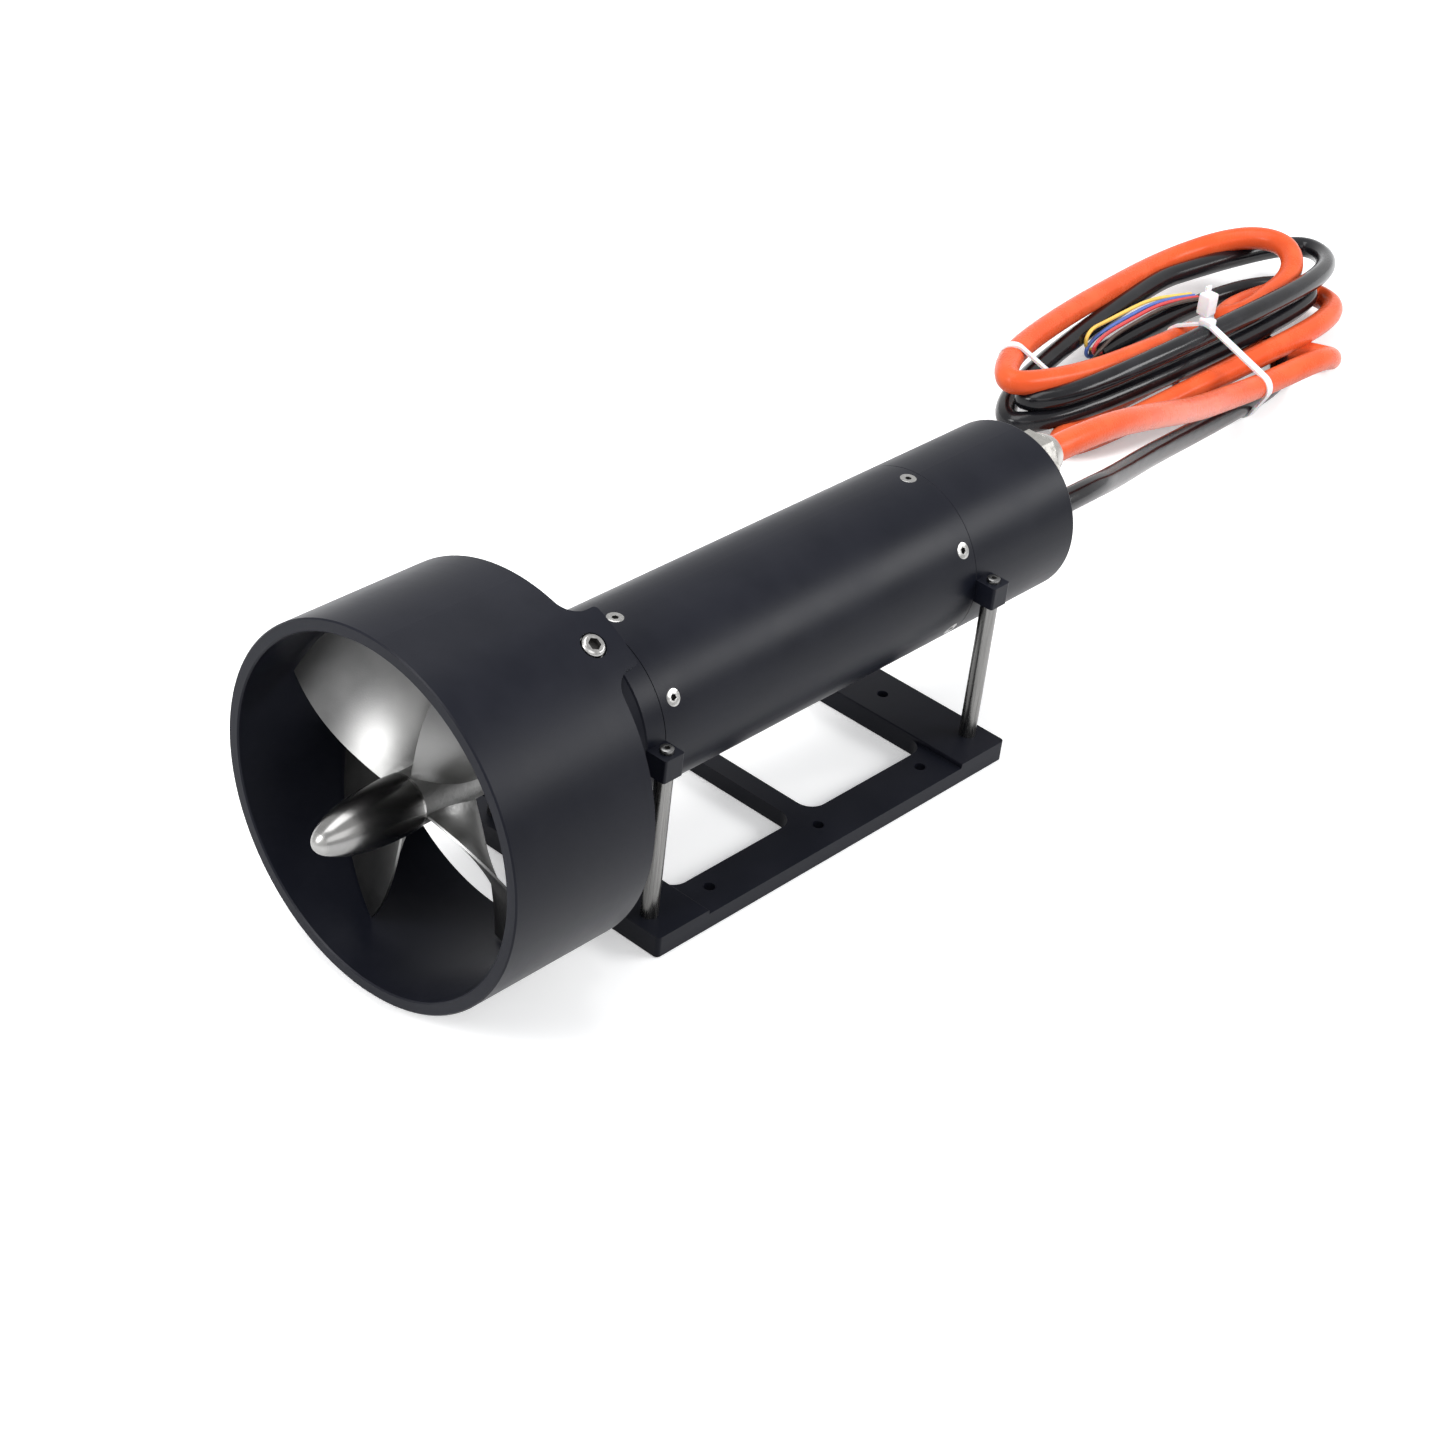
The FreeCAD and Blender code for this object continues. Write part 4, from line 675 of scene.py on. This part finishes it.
def add_tie(name, tie, finish, with_head):
    """Strap of a cable tie and, where it shows, its head and the cut end of its tail."""
    middle, sideways, reach = tie
    outline, normal = tie_outline(middle, sideways, reach)
    shape = bmesh.new()
    vertices = [shape.verts.new(place - normal * TIE_WIDTH / 2) for place in outline]
    for first, second in zip(vertices, vertices[1:] + vertices[:1]):
        shape.edges.new((first, second))
    made = bmesh.ops.extrude_edge_only(shape, edges=shape.edges[:])
    moved = [item for item in made["geom"] if isinstance(item, bmesh.types.BMVert)]
    bmesh.ops.translate(shape, verts=moved, vec=normal * TIE_WIDTH)
    bmesh.ops.recalc_face_normals(shape, faces=shape.faces[:])
    bmesh.ops.solidify(shape, geom=shape.faces[:], thickness=-TIE_THICKNESS)
    if with_head:
        top = max(outline, key=lambda place: place.z)
        turn = Matrix((normal, sideways, UP)).transposed().to_4x4()
        for size, offset, rounding in TIE_BLOCKS:
            add_block(shape, size * MM, Matrix.Translation(top + offset * MM) @ turn, rounding * MM)
    finished(shape, name, finish, "cable_ties")


def add_block(shape, size, matrix, rounding):
    """Box with rounded edges."""
    made = bmesh.ops.create_cube(shape, size=1.0, matrix=matrix @ Matrix.Diagonal((*size, 1.0)))
    bmesh.ops.bevel(
        shape,
        geom=edges_within(made["verts"]),
        offset=rounding,
        offset_type="OFFSET",
        affect="EDGES",
        segments=3,
        profile=0.5,
        material=-1,
    )


# Fasteners

# Half outlines of the screws in millimetres: distance from the screw's own axis and from the thruster's.
TUBE_SCREW_PROFILE = [(3.35, 39.98), (3.66, 39.85), (3.68, 39.75), (2.0, 38.2), (2.0, 30.6), (1.6, 30.0)]
DUCT_SCREW_PROFILE = [
    (3.7, 81.7), (3.95, 81.62), (4.7, 80.95), (5.0, 80.5), (5.0, 78.5), (3.0, 78.48), (3.0, 66.2),
    (2.5, 65.7),
]
WASHER_PROFILE = [(5.2, 78.5), (5.4, 78.35), (5.4, 77.75), (5.3, 77.7)]
WASHER_BORE = 3.05
WASHER_SEGMENTS = 48
# The screws on the lugs are upright, so theirs gives heights above the ground
POST_SCREW_PROFILE = [
    (2.55, 91.8), (2.9, 91.6), (3.0, 91.2), (3.0, 89.85), (2.0, 89.8), (2.0, 70.6), (1.6, 70.2),
]
POST_SCREW_SEGMENTS = 32
# Radius and depth of the hexagonal sockets
TUBE_SOCKET = (1.6, 1.8)
DUCT_SOCKET = (2.95, 2.4)
POST_SOCKET = (1.45, 1.4)
FRONT_SCREW_X = -89.55
REAR_SCREW_X = 91.25
DUCT_SCREW_X = -145.15
POST_X = 102.45
POST_Y = 45.0
# Each ring of screws: new piece, outline, place along the axis, number, first turn, socket and CAD node
SCREW_RINGS = [
    ("front_tube_screw_heads", TUBE_SCREW_PROFILE, FRONT_SCREW_X, TUBE_SCREWS, math.radians(30),
     TUBE_SOCKET, "tube_screws_front"),
    ("rear_tube_screw_heads", TUBE_SCREW_PROFILE, REAR_SCREW_X, TUBE_SCREWS, math.radians(30),
     TUBE_SOCKET, "tube_screws_rear"),
    ("duct_screw_heads", DUCT_SCREW_PROFILE, DUCT_SCREW_X, TABS, 0.0, DUCT_SOCKET, "duct_screws"),
]


def in_metres(profile):
    return [(radius * MM, height * MM) for radius, height in profile]


def add_screw_rings(steel, shade_in_socket):
    """Screws set radially round the thruster axis."""
    for name, profile, place, count, first_turn, (radius, depth), node in SCREW_RINGS:
        shape = bmesh.new()
        for number in range(count):
            vertices = socket_screw(shape, in_metres(profile), radius * MM, depth * MM)
            stand_radially(shape, vertices, place * MM, first_turn + 2 * math.pi * number / count)
        piece = finished(shape, name, steel, node)
        piece.data.materials.append(shade_in_socket)


def add_duct_washers(finish):
    """Washers under the heads of the duct's screws."""
    shape = bmesh.new()
    for number in range(TABS):
        before = set(shape.verts)
        rings = turned_profile(shape, in_metres(WASHER_PROFILE), WASHER_SEGMENTS)
        top = ring_at(shape, WASHER_BORE * MM, WASHER_PROFILE[0][1] * MM, WASHER_SEGMENTS)
        low = ring_at(shape, WASHER_BORE * MM, WASHER_PROFILE[-1][1] * MM, WASHER_SEGMENTS)
        skin(shape, [rings[0], top, low, rings[-1]])
        vertices = [vertex for vertex in shape.verts if vertex not in before]
        stand_radially(shape, vertices, DUCT_SCREW_X * MM, 2 * math.pi * number / TABS)
    finished(shape, "duct_washer_rings", finish, "duct_screw_washers")


def add_post_screws(steel, shade_in_socket):
    """Upright socket screws on the lugs."""
    shape = bmesh.new()
    radius, depth = POST_SOCKET
    profile = in_metres(POST_SCREW_PROFILE)
    for end in (-1, 1):
        for side in (-1, 1):
            vertices = socket_screw(shape, profile, radius * MM, depth * MM, POST_SCREW_SEGMENTS)
            bmesh.ops.translate(shape, verts=vertices, vec=(end * POST_X * MM, side * POST_Y * MM, 0))
    piece = finished(shape, "post_top_screw_heads", steel, "post_top_screws")
    piece.data.materials.append(shade_in_socket)


# Cable glands

# Sizes in millimetres. Places run along a gland from the rear cap.
GLAND_FLATS = 24.0
CORNER_SHARE = 0.4
FLANGE_LENGTH = 6.0
NECK_RADIUS = 9.0
NECK_LENGTH = 14.0
NECK_PLAY = 0.1
NUT_START = 6.8
NUT_BORE = 7.65
NUT_HOLLOW = 22.0
GLAND_SEGMENTS = 72
# A hexagonal stretch as places along the gland and how far its corners are cut back there
GLAND_FLANGE = [(0.0, 1.2), (0.3, 0.0), (5.7, 0.0), (FLANGE_LENGTH, 1.2)]
GLAND_NUT = [(NUT_START, 1.4), (7.3, 0.0), (20.3, 0.0), (20.8, 1.6)]
# The nut's dome as radii and places along the gland
NUT_DOME = [
    (11.7, 21.0), (11.3, 22.6), (10.6, 24.6), (9.9, 26.4), (9.3, 27.8), (8.9, 28.55), (8.4, 28.8),
    (NUT_BORE, 28.8),
]


def gland_ring(shape, radius, along):
    return ring_at(shape, radius * MM, along * MM, GLAND_SEGMENTS)


def hexagonal_ring(shape, along, cut_back):
    """Ring of a hexagon with its corners rounded off as turning does."""
    half_flats = GLAND_FLATS * MM / 2
    cut_back = cut_back * MM
    vertices = ring_at(shape, half_flats / math.cos(math.pi / 6) - cut_back, along * MM, GLAND_SEGMENTS)
    for vertex in vertices:
        turn = math.atan2(vertex.co.y, vertex.co.x)
        from_flat = (turn + math.pi / 6) % (math.pi / 3) - math.pi / 6
        limit = half_flats / math.cos(from_flat) - CORNER_SHARE * cut_back
        share = min(1.0, limit / math.hypot(vertex.co.x, vertex.co.y))
        vertex.co.x *= share
        vertex.co.y *= share
    return vertices


def add_gland(colour, height, finish):
    """Hexagonal body and domed nut of one cable entry."""
    body = bmesh.new()
    rings = [gland_ring(body, NECK_RADIUS, 0.0)]
    rings += [hexagonal_ring(body, along, cut) for along, cut in GLAND_FLANGE]
    rings += [gland_ring(body, NECK_RADIUS, along) for along in (FLANGE_LENGTH, NECK_LENGTH)]
    rings += [gland_ring(body, NUT_BORE, along) for along in (NECK_LENGTH, 0.0)]
    skin(body, rings + rings[:1])
    nut = bmesh.new()
    wide_bore = NECK_RADIUS + NECK_PLAY
    rings = [gland_ring(nut, wide_bore, NUT_START)]
    rings += [hexagonal_ring(nut, along, cut) for along, cut in GLAND_NUT]
    rings += [gland_ring(nut, radius, along) for radius, along in NUT_DOME]
    rings += [gland_ring(nut, radius, NUT_HOLLOW) for radius in (NUT_BORE, wide_bore)]
    skin(nut, rings + rings[:1])
    lay = Matrix.Translation((REAR_CAP_REAR, 0, height)) @ Matrix.Rotation(math.pi / 2, 4, "Y")
    for shape, part in ((body, "body"), (nut, "nut")):
        bmesh.ops.transform(shape, matrix=lay, verts=shape.verts)
        piece = f"{colour}_gland_{part}"
        finished(shape, piece + "_turned", finish, piece, smooth_angle=30.0)


# Studio

SKY_COLOUR = (0.95, 0.97, 1.0)
SKY_STRENGTH = 0.45
FLOOR_HALF_WIDTH = 6.0
FLOOR_DROP = 0.4 * MM


def seen_rays(tree, rays):
    """Whether a ray shows the surroundings to the eye, straight or through metal or glass."""
    total = rays.outputs["Is Camera Ray"]
    for name in ("Is Glossy Ray", "Is Transmission Ray"):
        either = tree.nodes.new("ShaderNodeMath")
        either.operation = "MAXIMUM"
        tree.links.new(total, either.inputs[0])
        tree.links.new(rays.outputs[name], either.inputs[1])
        total = either.outputs[0]
    return total


def background(tree, colour, strength):
    shader = tree.nodes.new("ShaderNodeBackground")
    shader.inputs["Color"].default_value = (*colour, 1.0)
    shader.inputs["Strength"].default_value = strength
    return shader.outputs[0]


def add_surroundings():
    """Plain white to the eye, and a weak cool light on the thruster."""
    scene = bpy.context.scene
    scene.view_settings.view_transform = "Standard"
    world = bpy.data.worlds.new("studio")
    scene.world = world
    world.use_nodes = True
    tree = world.node_tree
    tree.nodes.clear()
    output = tree.nodes.new("ShaderNodeOutputWorld")
    rays = tree.nodes.new("ShaderNodeLightPath")
    choice = tree.nodes.new("ShaderNodeMixShader")
    tree.links.new(seen_rays(tree, rays), choice.inputs[0])
    tree.links.new(background(tree, SKY_COLOUR, SKY_STRENGTH), choice.inputs[1])
    tree.links.new(background(tree, (1.0, 1.0, 1.0), 1.0), choice.inputs[2])
    tree.links.new(choice.outputs[0], output.inputs["Surface"])


def add_floor():
    """Pale floor that keeps the shadow, darker to the light than to the eye."""
    shape = bmesh.new()
    bmesh.ops.create_grid(shape, x_segments=2, y_segments=2, size=FLOOR_HALF_WIDTH)
    mesh = bpy.data.meshes.new("floor")
    shape.to_mesh(mesh)
    shape.free()
    floor = bpy.data.objects.new("floor", mesh)
    floor.location.z = -FLOOR_DROP
    bpy.context.scene.collection.objects.link(floor)
    pale = Finish("pale_floor", (0.93, 0.93, 0.93), 0.7, Specular_IOR_Level=0.05, Emission_Strength=1.0)
    rays = pale.tree.nodes.new("ShaderNodeLightPath")
    seen = Channel(pale, seen_rays(pale.tree, rays))
    pale.set("Base Color", pale.blend(seen, (0.3, 0.3, 0.3), (0.95, 0.95, 0.95)))
    pale.set("Emission Color", pale.blend(seen, (0.0, 0.0, 0.0), (0.35, 0.35, 0.35)))
    mesh.materials.append(pale.material)


# Each lamp: name, place, what it points at, size and power
LAMPS = [
    ("key_softbox", (-1.35, 0.32, 0.95), (0.0, 0.0, 0.08), (0.7, 0.6), 16.0),
    ("overhead_softbox", (-0.05, 0.35, 1.5), (0.05, 0.0, 0.08), (1.5, 0.8), 15.0),
    ("right_softbox", (0.95, -0.9, 0.72), (-0.05, 0.0, 0.08), (0.9, 0.42), 13.0),
    ("front_softbox", (-0.7, -1.15, 0.95), (-0.1, 0.0, 0.08), (1.1, 0.8), 5.0),
]


def add_lamps():
    for name, place, aim, size, power in LAMPS:
        data = bpy.data.lights.new(name, "AREA")
        data.shape = "RECTANGLE"
        data.size, data.size_y = size
        data.energy = power
        lamp = bpy.data.objects.new(name, data)
        lamp.location = place
        lamp.rotation_mode = "QUATERNION"
        lamp.rotation_quaternion = (Vector(aim) - Vector(place)).to_track_quat("-Z", "Y")
        bpy.context.scene.collection.objects.link(lamp)


# Pieces kept from the frame

RACES = [f"{end}_bearing_{race}_race" for end in ("front", "rear") for race in ("inner", "outer")]


def paint_nodes():
    """Give every piece kept from the frame its finish, and return those that new pieces share."""
    screw = screw_steel()
    dull = ground("dull_steel", (0.09, 0.09, 0.092), (0.2, 0.2, 0.198), 0.22)
    plated = nickel()
    finishes = [
        (anodised("turned_black", True),
         ["duct_shroud", "motor_tube", "rear_cap", "front_cap", "rear_bearing_holder"]),
        (anodised("milled_black", False), ["base_plate"]),
        (drawn_steel(), ["front_right_post", "front_left_post", "rear_right_post", "rear_left_post"]),
        (dull, ["post_bottom_screws", "drive_pin"]),
        (ground("ground_steel", (0.42, 0.42, 0.41), (0.58, 0.58, 0.57), 0.2),
         ["shaft", "wave_spring"] + RACES),
        (ground("cage", (0.2, 0.13, 0.06), (0.34, 0.24, 0.12), 0.4, 0.0),
         ["front_bearing_cage", "rear_bearing_cage"]),
        (rubber(), ["front_cap_seals", "rear_cap_seals", "shaft_seal", "orange_gland_seal",
                    "black_gland_seal"]),
        (laminated(), ["stator_core", "rotor_core"]),
        (copper(), ["stator_windings"]),
        (ground("magnet", (0.3, 0.3, 0.31), (0.46, 0.46, 0.47), 0.25), ["rotor_magnets"]),
        (cast_blade(), ["propeller"]),
        (polished_steel(), ["nose_cone"]),
    ]
    for finish, names in finishes:
        for name in names:
            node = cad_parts[name]
            node.data.materials.clear()
            node.data.materials.append(finish)
    return screw, dull, plated


add_camera()
add_cables()
add_core_wires()
nylon_finish = nylon()
add_tie("middle_tie", MIDDLE_TIE, nylon_finish, with_head=True)
add_tie("left_tie", LEFT_TIE, nylon_finish, with_head=False)
bright_steel, dull_steel, plated_brass = paint_nodes()
# Dark material that paints shade into the screws' sockets.
painted_socket_shade = socket_shadow()
add_screw_rings(bright_steel, painted_socket_shade)
add_duct_washers(bright_steel)
add_post_screws(dull_steel, painted_socket_shade)
for gland, (_, _, level) in (("orange", ORANGE_GLAND), ("black", BLACK_GLAND)):
    add_gland(gland, level * MM, plated_brass)
add_surroundings()
add_floor()
add_lamps()
